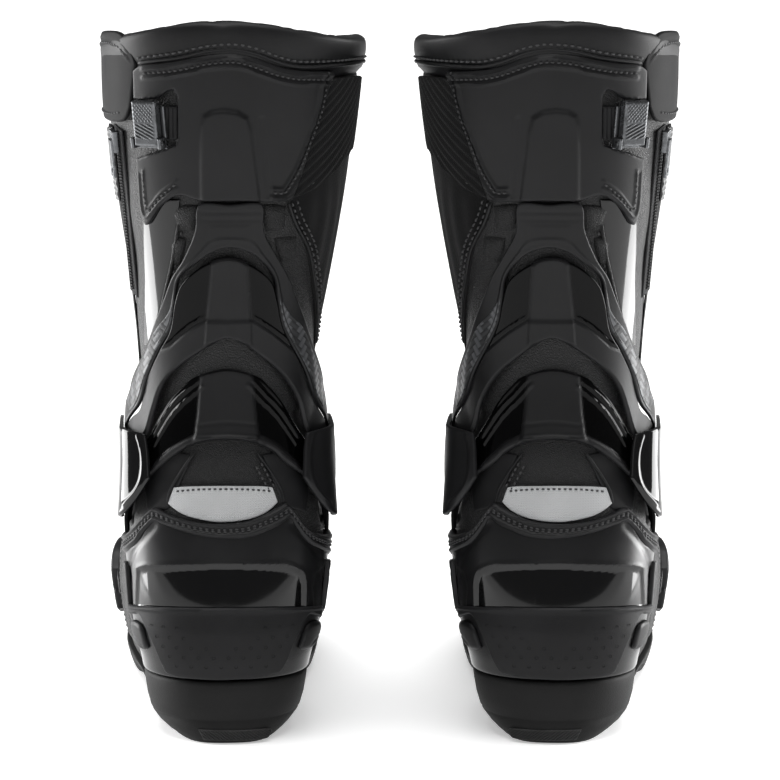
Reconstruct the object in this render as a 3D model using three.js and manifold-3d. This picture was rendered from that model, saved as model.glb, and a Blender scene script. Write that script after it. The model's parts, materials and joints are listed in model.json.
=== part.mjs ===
// A pair of leather road-race boots with a hinged ankle brace. Millimetres, +Z up, toes at +Y.
// One boot is modelled as the left one in its own frame: y = 0 lies at the back of the heel,
// -x is the outer side and +x the inner side. The right boot is its mirror image.
import * as THREE from "three";
import { mergeVertices } from "three/addons/utils/BufferGeometryUtils.js";
import Module from "manifold-3d";

// Overall sizes
const bootHeight = 332; // floor to the collar's top at the back seam
const footLength = 296; // back of the heel to the tip of the toe
const pairSpacing = 148; // between the heel centres of the two boots
const toeOut = 3.5; // degrees that each boot points outwards

// Walls and clearances
const leather = 3.5; // walls of the shaft and of the foot upper
const shell = 2; // moulded plates
const liftOff = 1; // from the leather to a plate that lies on it
const seam = 0.4; // between pieces that lie edge to edge
const layerGap = 0.5; // between the turning layers of the ankle brace
const fitGap = 0.3; // round a pin, a screw or a slider

// Sole and foot
const soleThickness = 12;
const heelBlockHeight = 30;
const soleOverhang = 3; // the sole stands proud of the leather all round
const insoleThickness = 4;
const ankleLine = 97; // top of the foot upper beside the ankle
const heelTab = 120; // top of the foot upper at the back seam
const instepTop = 108; // top of the foot upper at the instep
const shaftBottom = 150;
const collarHeight = 27;

// Ankle pivots
const pivotHeight = 122;
const pivotFromHeel = 68;
const pinRadius = 5;
const eyeRadius = 14;
const eyeThickness = 1.3;
const capThickness = 2;

// Buckle, strap, zip and slider screw
const leverWidth = 13;
const leverLength = 21;
const leverPinRadius = 1.2;
const earThickness = 1.6;
const strapWidth = 15;
const zipWidth = 7;
const zipLength = 76;
const zipSliderLength = 10;
const screwRadius = 4;

// The skin of the boot: at each height the back and front of the section, the depth of its
// round back and front, and its half-widths at the heel and at the ball of the foot.
const legFoot = 150; // heights above this stretch with bootHeight
const drawnHeight = 332;
const drawnLength = 296;
const ballStart = 110; // lengths in front of this stretch with footLength
const stations = [
  { z: 0, back: 7, front: 292, tail: 36, nose: 88, heel: [33, 31], ball: [43, 43] },
  { z: 30, back: 4, front: 296, tail: 36, nose: 92, heel: [36, 35], ball: [50, 50] },
  { z: 55, back: 3, front: 285, tail: 38, nose: 110, heel: [41, 41], ball: [52, 53] },
  { z: 75, back: 5, front: 245, tail: 40, nose: 118, heel: [43, 44], ball: [49, 49] },
  { z: 95, back: 9, front: 196, tail: 43, nose: 105, heel: [45, 46], ball: [46, 46] },
  { z: 115, back: 14, front: 158, tail: 46, nose: 82, heel: [44, 45.5], ball: [44, 45.5] },
  { z: 150, back: 20, front: 124, tail: 49, nose: 52, heel: [38.5, 40], ball: [38.5, 40] },
  { z: 180, back: 22, front: 116, tail: 48, nose: 44, heel: [39.5, 42.5], ball: [39.5, 42.5] },
  { z: 210, back: 19, front: 116, tail: 50, nose: 45, heel: [42.5, 48.5], ball: [42.5, 48.5] },
  { z: 250, back: 11, front: 121, tail: 56, nose: 52, heel: [48, 55.5], ball: [48, 55.5] },
  { z: 290, back: 4, front: 127, tail: 61, nose: 60, heel: [52.5, 61], ball: [52.5, 61] },
  { z: 332, back: 0, front: 132, tail: 64, nose: 66, heel: [53, 65], ball: [53, 65] },
];
const squareness = 2.25; // of the section's rounded ends
const roundShare = 0.42; // share of each side's parameter that runs round one end
const widening = [70, 190]; // the half-width goes from heel to ball between these lengths

const smooth = (a, b, x) => {
  const t = THREE.MathUtils.clamp((x - a) / (b - a), 0, 1);
  return t * t * (3 - 2 * t);
};
const mix = THREE.MathUtils.lerp;

// A smooth curve through one value of each station.
function stationCurve(pick) {
  const z = stations.map((s) => s.z);
  const v = stations.map(pick);
  const last = z.length - 1;
  const slope = z.slice(1).map((upper, i) => (v[i + 1] - v[i]) / (upper - z[i]));
  const tangent = v.map((_, i) => {
    if (i === 0) return slope[0];
    if (i === last) return slope[last - 1];
    const below = z[i] - z[i - 1];
    const above = z[i + 1] - z[i];
    return (slope[i - 1] * above + slope[i] * below) / (above + below);
  });
  return (height) => {
    let i = 0;
    while (i < last - 1 && height >= z[i + 1]) i++;
    const h = z[i + 1] - z[i];
    const t = (height - z[i]) / h;
    const fromStart = (1 + 2 * t) * (1 - t) ** 2 * v[i] + t * (1 - t) ** 2 * h * tangent[i];
    const fromEnd = t * t * (3 - 2 * t) * v[i + 1] - t * t * (1 - t) * h * tangent[i + 1];
    return fromStart + fromEnd;
  };
}
const curves = {
  back: stationCurve((s) => s.back),
  front: stationCurve((s) => s.front),
  tail: stationCurve((s) => s.tail),
  nose: stationCurve((s) => s.nose),
  heel: [0, 1].map((side) => stationCurve((s) => s.heel[side])),
  ball: [0, 1].map((side) => stationCurve((s) => s.ball[side])),
};

const lift = (z) => {
  const stretch = (bootHeight - legFoot) / (drawnHeight - legFoot);
  return z <= legFoot ? z : legFoot + (z - legFoot) * stretch;
};
// Drawn height that becomes this much real height above legFoot.
const drawn = (height) => (height * (drawnHeight - legFoot)) / (bootHeight - legFoot);
const lengthen = (y) => {
  const stretch = (footLength - ballStart) / (drawnLength - ballStart);
  return y <= ballStart ? y : ballStart + (y - ballStart) * stretch;
};

// Point of the skin at turn t and drawn height z: t runs once round the section, from the back
// seam (0) along the inner side to the front (0.5) and back along the outer side.
function skin(t, z) {
  const turn = t - Math.floor(t);
  const inner = turn < 0.5;
  const a = inner ? 2 * turn : 2 * (1 - turn);
  const side = inner ? 1 : 0;
  const backEnd = curves.back(z) + curves.tail(z);
  const frontStart = curves.front(z) - curves.nose(z);
  let y;
  let swell = 1;
  const round = (angle) => (1 - Math.cos(angle) ** squareness) ** (1 / squareness);
  if (a <= roundShare) {
    const angle = (a / roundShare) * (Math.PI / 2);
    y = backEnd - curves.tail(z) * Math.cos(angle);
    swell = round(angle);
  } else if (a >= 1 - roundShare) {
    const angle = ((1 - a) / roundShare) * (Math.PI / 2);
    y = frontStart + curves.nose(z) * Math.cos(angle);
    swell = round(angle);
  } else {
    y = mix(backEnd, frontStart, (a - roundShare) / (1 - 2 * roundShare));
  }
  const width = mix(curves.heel[side](z), curves.ball[side](z), smooth(...widening, y));
  return new THREE.Vector3((inner ? 1 : -1) * width * swell, lengthen(y), lift(z));
}

// The same point moved out of the skin by depth.
function onSkin(t, z, depth) {
  const turnStep = 0.002;
  const heightStep = 0.5;
  const across = skin(t + turnStep, z).sub(skin(t - turnStep, z));
  const upwards = skin(t, z + heightStep).sub(skin(t, z - heightStep));
  return skin(t, z).addScaledVector(across.cross(upwards).normalize(), depth);
}

// Lengths along one side of the section, from the back seam to the front.
const sideSteps = 96;
const lengthTables = new Map();
function lengthTable(z, inner) {
  const key = `${z.toFixed(4)} ${inner}`;
  if (!lengthTables.has(key)) {
    const table = [0];
    let previous = skin(0, z);
    for (let i = 1; i <= sideSteps; i++) {
      const half = (0.5 * i) / sideSteps;
      const point = skin(inner ? half : 1 - half, z);
      table.push(table[i - 1] + point.distanceTo(previous));
      previous = point;
    }
    lengthTables.set(key, table);
  }
  return lengthTables.get(key);
}
const halfGirth = (z, inner) => lengthTable(z, inner)[sideSteps];

// Turn of the point that lies s along the skin from the back seam, outer side negative.
function turnAt(s, z) {
  const table = lengthTable(z, s >= 0);
  const length = Math.min(Math.abs(s), table[sideSteps] - 1e-6);
  let i = 0;
  while (table[i + 1] <= length) i++;
  const half = (0.5 * (i + (length - table[i]) / (table[i + 1] - table[i]))) / sideSteps;
  return s >= 0 ? half : 1 - half;
}
const fromBack = (s, z, depth) => onSkin(turnAt(s, z), z, depth);
// Here s starts at the front centre line and is positive towards the outer side.
const fromFront = (s, z, depth) => {
  const inner = s <= 0;
  const back = halfGirth(z, inner) - Math.abs(s);
  return onSkin(turnAt(inner ? back : -back, z), z, depth);
};
// Turn of column u of a tube, with columns closer together round the ends of the section.
function columnTurn(u, z) {
  const inner = u < 0.5;
  const share = inner ? 2 * u : 2 * (1 - u);
  const byLength = turnAt((inner ? 1 : -1) * share * halfGirth(z, inner), z);
  return (u + (u >= 0.5 && byLength === 0 ? 1 : byLength)) / 2;
}

// A closed body between two sheets: point(u, v, layer) is on the inside sheet for layer 0 and on
// the outside sheet for layer 1. A ring closes on itself along u.
function slab(columns, rows, point, ring = false) {
  const wide = ring ? columns : columns + 1;
  const positions = [];
  const index = [];
  for (const layer of [0, 1])
    for (let j = 0; j <= rows; j++)
      for (let i = 0; i < wide; i++) positions.push(...point(i / columns, j / rows, layer));
  const at = (i, j, layer) => (layer * (rows + 1) + j) * wide + (i % wide);
  const quad = (a, b, c, d) => index.push(a, b, c, a, c, d);
  for (let i = 0; i < columns; i++) {
    for (let j = 0; j < rows; j++) {
      quad(at(i, j, 1), at(i + 1, j, 1), at(i + 1, j + 1, 1), at(i, j + 1, 1));
      quad(at(i, j, 0), at(i, j + 1, 0), at(i + 1, j + 1, 0), at(i + 1, j, 0));
    }
    quad(at(i, 0, 0), at(i + 1, 0, 0), at(i + 1, 0, 1), at(i, 0, 1));
    quad(at(i, rows, 1), at(i + 1, rows, 1), at(i + 1, rows, 0), at(i, rows, 0));
  }
  if (!ring)
    for (let j = 0; j < rows; j++) {
      quad(at(0, j, 1), at(0, j + 1, 1), at(0, j + 1, 0), at(0, j, 0));
      quad(at(columns, j, 0), at(columns, j + 1, 0), at(columns, j + 1, 1), at(columns, j, 1));
    }
  return bodyOf(positions, index);
}

// A solid block from stacked rings; its ends are closed by strips from side to side.
function block(columns, rows, point) {
  const positions = [];
  const index = [];
  for (let j = 0; j <= rows; j++)
    for (let i = 0; i < columns; i++) positions.push(...point(i / columns, j / rows));
  const at = (i, j) => j * columns + (i % columns);
  for (let j = 0; j < rows; j++)
    for (let i = 0; i < columns; i++) {
      index.push(at(i, j), at(i + 1, j), at(i + 1, j + 1));
      index.push(at(i, j), at(i + 1, j + 1), at(i, j + 1));
    }
  for (let i = 0; i < columns / 2; i++) {
    const [near, next, far, across] = [i, i + 1, columns - i - 1, columns - i];
    if (next !== far) index.push(at(near, rows), at(next, rows), at(far, rows));
    if (i > 0) index.push(at(near, rows), at(far, rows), at(across, rows));
    if (next !== far) index.push(at(near, 0), at(far, 0), at(next, 0));
    if (i > 0) index.push(at(near, 0), at(across, 0), at(far, 0));
  }
  return bodyOf(positions, index);
}

function bodyOf(positions, index) {
  const geometry = new THREE.BufferGeometry();
  geometry.setAttribute("position", new THREE.Float32BufferAttribute(positions, 3));
  geometry.setIndex(index);
  return geometry;
}

// A plate between two edges drawn on the skin. Each rib [s, z, s, z] goes from the upper edge to
// the lower edge, and the ribs run from the outer side to the inner side.
function plate(ribs, rows, depths, { steps = 1, place = fromBack, smoothEdges = true } = {}) {
  const edge = (k) => {
    const points = ribs.map((rib) => new THREE.Vector2(rib[k], rib[k + 1]));
    return smoothEdges ? new THREE.SplineCurve(points) : polyline(points);
  };
  const [high, low] = [edge(0), edge(2)];
  return slab((ribs.length - 1) * steps, rows, (u, v, layer) => {
    const flat = low.getPoint(u).lerp(high.getPoint(u), v);
    return place(flat.x, flat.y, depths[layer]);
  });
}
const polyline = (points) => ({
  getPoint(u) {
    const place = u * (points.length - 1);
    const i = Math.min(Math.floor(place), points.length - 2);
    return points[i].clone().lerp(points[i + 1], place - i);
  },
});

// Joining and cutting
const wasm = await Module();
wasm.setup();
function solidOf(geometry) {
  const bare = new THREE.BufferGeometry();
  bare.setAttribute("position", geometry.getAttribute("position"));
  bare.setIndex(geometry.index);
  const merged = mergeVertices(bare, 1e-4);
  return new wasm.Manifold(
    new wasm.Mesh({
      numProp: 3,
      vertProperties: merged.attributes.position.array,
      triVerts: new Uint32Array(merged.index.array),
    }),
  );
}
function geometryOf(solid) {
  const mesh = solid.getMesh();
  return bodyOf(Array.from(mesh.vertProperties), Array.from(mesh.triVerts));
}
const join = (...parts) => geometryOf(parts.map(solidOf).reduce((a, b) => a.add(b)));
const cut = (part, ...tools) =>
  geometryOf(tools.map(solidOf).reduce((left, tool) => left.subtract(tool), solidOf(part)));

// Sole: its top and underside as heights over the length of the foot.
const soleTop = (y) => mix(heelBlockHeight, soleThickness, smooth(70, 95, y));
const soleUnder = (y) => {
  const waistRise = 8;
  const toeSpring = 8;
  const waist = smooth(76, 92, y) * (1 - smooth(128, 156, y));
  return waistRise * waist + toeSpring * smooth(lengthen(225), footLength, y);
};
const upperTop = (y) => {
  const besideHeel = mix(heelTab, ankleLine, smooth(26, 40, y));
  return besideHeel + (instepTop - ankleLine) * smooth(100, 130, y);
};
const footColumns = 40;
const legColumns = 32;

// How far forward column u lies at height z.
const columnLength = (u, z) => skin(columnTurn(u, z), z).y;

function outsole() {
  const body = block(footColumns, 3, (u, v) => {
    const y = columnLength(u, soleThickness);
    const z = mix(soleUnder(y), soleTop(y), v);
    return onSkin(columnTurn(u, z), z, soleOverhang).setZ(z);
  });
  return cut(body, plugPlate(seam, [0.6, 2 * soleOverhang]));
}
function plugPlate(grow, depths) {
  const [left, right, bottom, top] = [-12.5 - grow, 17.5 + grow, 2 - grow, 7.6 + grow];
  const ribs = [left, (left + right) / 2, right].map((s) => [s, top, s, bottom]);
  return plate(ribs, 1, depths, { steps: 2 });
}
const heelPlug = () => plugPlate(0, [1, soleOverhang + 0.6]);

const insole = () =>
  block(footColumns, 1, (u, v) => {
    const y = columnLength(u, soleThickness);
    const z = soleTop(y) + seam + insoleThickness * v;
    return onSkin(columnTurn(u, z), z, -leather - 2 * seam).setZ(z);
  });

const footUpper = () =>
  slab(
    footColumns,
    8,
    (u, v, layer) => {
      const bottom = soleTop(columnLength(u, soleThickness)) + seam;
      const z = mix(bottom, upperTop(columnLength(u, ankleLine)), v);
      return onSkin(columnTurn(u, z), z, (layer - 1) * leather);
    },
    true,
  );

const gaiterSink = 2.8; // the gaiter lies this much inside the skin, under the brace
function ankleGaiter() {
  const tube = (u, v, layer) => {
    const bottom = upperTop(columnLength(u, ankleLine)) + seam;
    const z = mix(bottom, shaftBottom - seam, v);
    return onSkin(columnTurn(u, z), z, -gaiterSink - (1 - layer) * shell);
  };
  return slab(footColumns, 2, tube, true);
}

const legTube = (rows, bottom, top, wall) =>
  slab(
    legColumns,
    rows,
    (u, v, layer) => {
      const z = mix(bottom, top(skin(columnTurn(u, bottom), bottom).y), v);
      return onSkin(columnTurn(u, z), z, (layer - 1) * wall);
    },
    true,
  );
const collarBottom = drawnHeight - collarHeight;
const shaft = () => legTube(6, shaftBottom, () => collarBottom - seam, leather);
const collarTop = (y) => mix(drawnHeight, 324, smooth(8, 40, y)) - 3 * smooth(80, 120, y);
const collar = () => legTube(2, collarBottom, collarTop, leather + 1);

// Ankle brace. Near the pivots each layer becomes flat, so that the layers turn past each other.
const layerPitch = eyeThickness + layerGap;
const innermost = -1; // of the stack, from the skin beside the pivot
const stack = {
  lower: [innermost, innermost + eyeThickness],
  middle: [innermost + layerPitch, innermost + layerPitch + eyeThickness],
  yoke: [innermost + 2 * layerPitch, innermost + 2 * layerPitch + eyeThickness],
  cap: [innermost + 3 * layerPitch, innermost + 3 * layerPitch + capThickness],
};
function pivotTurn(inner) {
  let s = inner ? 1 : -1;
  while (fromBack(s, pivotHeight, 0).y < pivotFromHeel) s += inner ? 0.5 : -0.5;
  return turnAt(s, pivotHeight);
}
const pivotX = [false, true].map((inner) => skin(pivotTurn(inner), pivotHeight).x);
const planeX = (inner, offset) => pivotX[inner ? 1 : 0] + (inner ? offset : -offset);
const pivotDistance = (point) =>
  Math.hypot(point.y - pivotFromHeel, point.z - pivotHeight);

// A brace layer lies on the skin at its two depths, and turns into its flat plane near the pivot.
// A depth is a number or a function of the place on the skin.
const bracePlate = (ribs, rows, depths, planes, near = 20, far = 40, distance = pivotDistance) => {
  const place = (s, z, layer) => {
    const depth = depths[layer];
    const point = fromBack(s, z, typeof depth === "function" ? depth(s, z) : depth);
    const flat = 1 - smooth(near, far, distance(point));
    point.x = mix(point.x, planeX(s >= 0, planes[layer]), flat);
    return point;
  };
  return plate(ribs, rows, [0, 1], { steps: 2, place });
};

// A round disc or pin across the boot at a pivot, between two offsets from the skin.
function pivotDisc(inner, radius, [from, to], sides = 20) {
  const disc = new THREE.CylinderGeometry(radius, radius, Math.abs(to - from), sides);
  disc.rotateZ(Math.PI / 2);
  disc.translate(planeX(inner, (from + to) / 2), pivotFromHeel, pivotHeight);
  return disc;
}
const holeReach = 3;
const pinHole = (inner, [from, to]) =>
  pivotDisc(inner, pinRadius + fitGap, [from - holeReach, to + holeReach]);
function arch(ribs, rows, depths, planes, extras = []) {
  const sides = [false, true];
  const eyes = sides.map((inner) => pivotDisc(inner, eyeRadius, planes));
  const holes = sides.map((inner) => pinHole(inner, planes));
  return cut(join(bracePlate(ribs, rows, depths, planes), ...eyes, ...extras), ...holes);
}

const lowerRibs = [
  [-76, 132, -76, 112],
  [-61, 135, -62, 107],
  [-48, 134, -48, 113],
  [-41.5, 136, -38, 121],
  [-35.5, 145, -32, 125.5],
  [-27.5, 155.5, -26, 130],
  [-19, 164, -18, 135.5],
  [-13, 168.5, -10, 138.5],
  [0.5, 172, 0.5, 139.5],
  [13.5, 168.5, 11.5, 138],
  [20, 163, 21, 133.5],
  [26.5, 155.5, 26.5, 128.5],
  [32.5, 147, 32, 124.5],
  [38.5, 139.5, 38, 121],
  [44, 134, 48, 113],
  [61, 135, 62, 107],
  [76, 132, 76, 112],
];
const lowerDepths = [liftOff, liftOff + 1.6];
function lowerArch() {
  const tabs = [-1, 1].map((side) => {
    const ribs = [-6, 0, 6].map((s) => [side * 78 + s, 114, side * 78 + s, 90]);
    return bracePlate(ribs, 3, lowerDepths, stack.lower, 17, 28);
  });
  return arch(lowerRibs, 1, lowerDepths, stack.lower, tabs);
}

const middleRibs = [
  [-76, 130, -76, 114],
  [-62, 140, -62, 116],
  [-52, 146, -49, 126],
  [-45, 151, -39.5, 139],
  [-37, 168, -34.5, 151],
  [-29.5, 180.5, -30, 161],
  [-24, 190, -25.5, 167.5],
  [-21.5, 204, -20, 173],
  [-18, 213, -14, 178],
  [-9, 221.5, -7, 183],
  [1.5, 225, 1, 187],
  [11, 221.5, 9.5, 182.5],
  [19.5, 214, 15.5, 177.5],
  [22.5, 204, 21.5, 172],
  [25, 192, 27, 166],
  [30.5, 180.5, 31.5, 160],
  [38, 168.5, 36, 152.5],
  [46.5, 157.5, 40.5, 140],
  [53, 148, 49.5, 127],
  [62, 141.5, 62, 116],
  [76, 130, 76, 114],
];
const middleDepths = [3.3, 4.9];
const midArch = () => arch(middleRibs, 2, middleDepths, stack.middle);

const yokeRibs = [
  [-82, 131, -74, 116],
  [-77, 146, -63, 134],
  [-63, 155, -50, 147.5],
  [-52, 167, -43.5, 156],
  [-44.5, 176, -38, 169],
  [-37, 190, -31.5, 182],
  [-30, 204, -26, 191.5],
  [-24, 215, -23.7, 204.5],
  [-18, 224, -20, 214.5],
  [-13, 237, -10.5, 224],
  [-11, 249.5, -4, 228],
  [2.5, 249.5, 2.5, 229.5],
  [16, 249.5, 10, 227.5],
  [17, 237, 15.5, 223.5],
  [23.5, 224, 21.8, 215],
  [29, 215, 24.8, 204.5],
  [35.5, 203.5, 27.2, 192.5],
  [42, 191.5, 32.3, 182],
  [50, 177, 39.4, 169.8],
  [57, 167.5, 45.5, 158.5],
  [65, 157, 52, 149],
  [78, 146, 64.5, 134],
  [82, 131, 74, 116],
];
const yokeLift = (s, z) => mix(5.3, 2.2, smooth(160, 190, z));
const yokeDepths = [yokeLift, (s, z) => yokeLift(s, z) + 1.8];
const yoke = () => arch(yokeRibs, 1, yokeDepths, stack.yoke);

// A carbon inlay lies on a yoke arm, along its inner edge, and ends in a point.
function carbonInlay(inner) {
  const [first, last] = inner ? [15, 20] : [2, 7];
  const [nearShare, farShare] = [0.08, 0.66];
  const ribs = yokeRibs.slice(first, last + 1).map(([highS, highZ, lowS, lowZ], i) => {
    const fromPoint = inner ? i : last - first - i;
    const share = mix(nearShare + 0.08, farShare, smooth(0, 2, fromPoint));
    const along = (k) => [mix(lowS, highS, k), mix(lowZ, highZ, k)];
    return [...along(share), ...along(nearShare)];
  });
  const inlay = 0.6;
  const inlayGap = layerGap + 0.2;
  const depths = [0, inlay].map((more) => (s, z) => yokeDepths[1](s, z) + inlayGap + more);
  const planes = [stack.yoke[1] + inlayGap, stack.yoke[1] + inlayGap + inlay];
  return bracePlate(ribs, 1, depths, planes);
}

// A pivot cap wraps a little round the back of the ankle and carries the pin.
function pivotCap(inner) {
  const columns = [
    [35, 143.5, 34, 122],
    [44, 144, 46, 107],
    [60, 144.5, 61, 103.5],
    [78, 144, 78, 102.5],
    [93, 141, 93, 105],
    [106, 132, 106, 112],
  ];
  const signed = columns.map(([a, b, c, d]) => (inner ? [a, b, c, d] : [-a, b, -c, d]));
  const ribs = inner ? signed : signed.reverse();
  const behind = (point) => Math.max(0, pivotFromHeel - point.y);
  const capLift = (s) => mix(5.6, 7.2, smooth(34, 48, Math.abs(s)));
  const depths = [capLift, (s) => capLift(s) + 1.8];
  const body = bracePlate(ribs, 4, depths, stack.cap, 20, 42, behind);
  const pin = pivotDisc(inner, pinRadius, [stack.lower[0] - seam, stack.cap[0] + seam]);
  return join(body, pin);
}

// Heel, toe and leg plates
const onLeather = [liftOff, liftOff + shell];
const padLift = 0.9; // the shift pad and the reflective patch lie close to the leather
const heelCounter = () =>
  plate(
    [
      [-76, 84, -76, 31],
      [-56, 87, -56, 31],
      [-44, 92, -44, 31],
      [-34, 103, -34, 31],
      [-26, 101.5, -26, 31],
      [-12, 98, -12, 31],
      [0, 97, 0, 31],
      [12, 98, 12, 31],
      [21, 100.5, 21, 31],
      [29, 104.5, 29, 31],
      [37, 97, 37, 31],
      [46, 90.5, 46, 31],
      [57, 86, 57, 31],
      [75, 83, 75, 31],
    ],
    4,
    onLeather,
    { steps: 2 },
  );
const onCounter = [onLeather[1] + seam, onLeather[1] + seam + 1.4];
const heelPad = () =>
  plate(
    [
      [-58, 62, -58, 56],
      [-43, 62, -43, 57],
      [-36, 62, -36, 49.5],
      [-27.5, 62, -27.5, 33.5],
      [-12, 62, -12, 32],
      [4, 62, 4, 32],
      [22, 62, 22, 33.5],
      [30, 62, 30, 49],
      [38, 62, 38, 57],
      [50, 62, 50, 56],
    ],
    3,
    onCounter,
    { steps: 2, smoothEdges: false },
  );
const heelInsert = (ribs) => plate(ribs, 2, onCounter, { steps: 2, smoothEdges: false });
const outerInsert = () => heelInsert([[-57, 53, -55, 43.5], [-44, 53.5, -39.5, 43.5]]);
const innerInsert = () => heelInsert([[39.5, 53.5, 33.5, 43.5], [51, 53, 49, 43.5]]);
const reflectivePatch = () =>
  plate(
    [
      [-24.5, 117.3, -27.5, 110],
      [-13, 118.5, -15, 104.3],
      [-3, 118.8, -3, 102.8],
      [9, 118.5, 9.5, 103.8],
      [21, 117.2, 23.5, 110.5],
    ],
    2,
    [padLift, padLift + 0.8],
    { steps: 2 },
  );

const sliderCentre = [90, 36]; // from the front centre line, and height
const toeSliderDepths = [liftOff, liftOff + 4];
function screwCylinder(radius, [from, to]) {
  const [s, z] = sliderCentre;
  const start = fromFront(s, z, from);
  const end = fromFront(s, z, to);
  const rod = new THREE.CylinderGeometry(radius, radius, start.distanceTo(end), 20);
  rod.applyQuaternion(
    new THREE.Quaternion().setFromUnitVectors(
      new THREE.Vector3(0, 1, 0),
      end.clone().sub(start).normalize(),
    ),
  );
  const middle = start.add(end).multiplyScalar(0.5);
  return rod.translate(middle.x, middle.y, middle.z);
}
function toeSlider() {
  const [s, z] = sliderCentre;
  const ribs = [
    [s - 28, z + 10, s - 28, z - 12],
    [s - 15, z + 17, s - 15, z - 17],
    [s, z + 19, s, z - 18],
    [s + 16, z + 16, s + 16, z - 16],
    [s + 30, z + 9, s + 30, z - 12],
  ];
  const body = plate(ribs, 4, toeSliderDepths, { steps: 2, place: fromFront });
  return cut(body, screwCylinder(screwRadius + fitGap, [-2, 2 * toeSliderDepths[1]]));
}
const sliderScrew = () => screwCylinder(screwRadius, [liftOff, toeSliderDepths[1] - 0.4]);

const shiftPad = () => {
  const ribs = [-32, -16, 0, 16, 32].map((s) => [s, 90, s, 62]);
  return plate(ribs, 4, [padLift, padLift + 1.5], { steps: 2, place: fromFront });
};
const shinPlate = () => {
  const ribs = [
    [-38, 288, -24, 180],
    [-20, 297, -14, 172],
    [0, 300, 0, 170],
    [20, 297, 14, 172],
    [38, 288, 24, 180],
  ];
  return plate(ribs, 5, onLeather, { steps: 2, place: fromFront });
};
const frontFlap = () => {
  const ribs = [
    [-130, 316, -128, 288],
    [-108, 321, -108, 285],
    [-86, 322, -86, 285],
    [-64, 321, -64, 285],
    [-48, 316, -47, 289],
  ];
  return plate(ribs, 3, onLeather, { steps: 2 });
};

// Calf plate, with an opening for the buckle at its outer edge.
const calfRibs = [
  [-43.5, 309, -42, 247],
  [-38, 312, -37.5, 238.5],
  [-28, 313, -29, 248],
  [-20, 314.3, -20, 253.5],
  [-10, 316.5, -10, 251],
  [-2, 317.5, -2, 250.8],
  [6, 317.4, 6, 250.8],
  [14.5, 315.3, 14, 250.5],
  [26, 311, 20, 250.3],
  [38, 309.2, 25.5, 250.2],
  [52.5, 308.5, 30.5, 250.8],
];
const calfDepths = [liftOff, liftOff + shell + 0.4];
function calfPlate() {
  const opening = [
    [-50, 10, -50, -19],
    [-31, 10.5, -31, -13.5],
    [-26, 13.5, -26, -11.5],
    [-20.5, 14.5, -20, -9.5],
  ].map(([a, up, b, down]) => [a, buckleAt[1] + drawn(up), b, buckleAt[1] + drawn(down)]);
  const reach = [-1, 12];
  return cut(plate(calfRibs, 6, calfDepths), plate(opening, 1, reach, { steps: 2 }));
}

// Small hardware is drawn in a flat frame that touches the skin: t along it, u up, n outwards.
function frameAt(s, z) {
  const along = fromBack(s + 1, z, 0).sub(fromBack(s - 1, z, 0)).normalize();
  const out = fromBack(s, z, 1).sub(fromBack(s, z, 0)).normalize();
  const up = out.clone().cross(along);
  return new THREE.Matrix4().makeBasis(along, up, out).setPosition(fromBack(s, z, 0));
}
const boxIn = (frame, [t0, t1], [u0, u1], [n0, n1]) =>
  new THREE.BoxGeometry(t1 - t0, u1 - u0, n1 - n0)
    .translate((t0 + t1) / 2, (u0 + u1) / 2, (n0 + n1) / 2)
    .applyMatrix4(frame);
const rodIn = (frame, radius, [t0, t1], u, n, sides = 16) =>
  new THREE.CylinderGeometry(radius, radius, t1 - t0, sides)
    .rotateZ(Math.PI / 2)
    .translate((t0 + t1) / 2, u, n)
    .applyMatrix4(frame);

// Buckle: the strap runs through under the base; the lever turns on a pin at its lower end.
const buckleAt = [-33.5, 286];
const strapDepths = [liftOff, liftOff + 1];
const baseDepths = [strapDepths[1] + seam, strapDepths[1] + seam + 1.2];
const knuckleRadius = 1.9;
const leverPin = { u: -leverLength / 2 + knuckleRadius, n: baseDepths[1] + fitGap + knuckleRadius };
const earInner = leverWidth / 2 + fitGap;
const earOuter = earInner + earThickness;
function buckleBase() {
  const frame = frameAt(...buckleAt);
  const foot = boxIn(frame, [-earOuter, earOuter], [-leverLength / 2 - 1, 8], baseDepths);
  const ears = [-1, 1].map((side) => {
    const across = side < 0 ? [-earOuter, -earInner] : [earInner, earOuter];
    const reach = 2.4;
    return boxIn(frame, across, [leverPin.u - reach, leverPin.u + reach], [
      baseDepths[0],
      leverPin.n + reach,
    ]);
  });
  const bore = rodIn(
    frame,
    leverPinRadius + fitGap,
    [-earOuter - 1, earOuter + 1],
    leverPin.u,
    leverPin.n,
  );
  return cut(join(foot, ...ears), bore);
}
function buckleLever() {
  const frame = frameAt(...buckleAt);
  const profile = new THREE.Shape();
  profile.absarc(leverPin.u, leverPin.n, knuckleRadius, Math.PI / 2, -Math.PI / 2, false);
  const [tip, under, over] = [leverLength / 2, baseDepths[1] + 0.5, leverPin.n + 2.2];
  profile.lineTo(tip - 2, under);
  profile.lineTo(tip, under + 0.8);
  profile.lineTo(tip, under + 2);
  profile.lineTo(tip - 2.5, over);
  profile.lineTo(leverPin.u + 3, over);
  const body = new THREE.ExtrudeGeometry(profile, {
    depth: leverWidth,
    bevelEnabled: false,
    curveSegments: 8,
  });
  // The profile's x is u and its y is n, and its depth runs along t.
  const axes = new THREE.Matrix4().makeBasis(
    new THREE.Vector3(0, 1, 0),
    new THREE.Vector3(0, 0, 1),
    new THREE.Vector3(1, 0, 0),
  );
  body.applyMatrix4(axes).translate(-leverWidth / 2, 0, 0).applyMatrix4(frame);
  const pin = rodIn(frame, leverPinRadius, [-earOuter, earOuter], leverPin.u, leverPin.n);
  return join(bodyOnly(body), pin);
}
const bodyOnly = (geometry) => {
  const merged = new THREE.BufferGeometry();
  merged.setAttribute("position", geometry.getAttribute("position"));
  return mergeVertices(merged, 1e-4);
};
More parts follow.
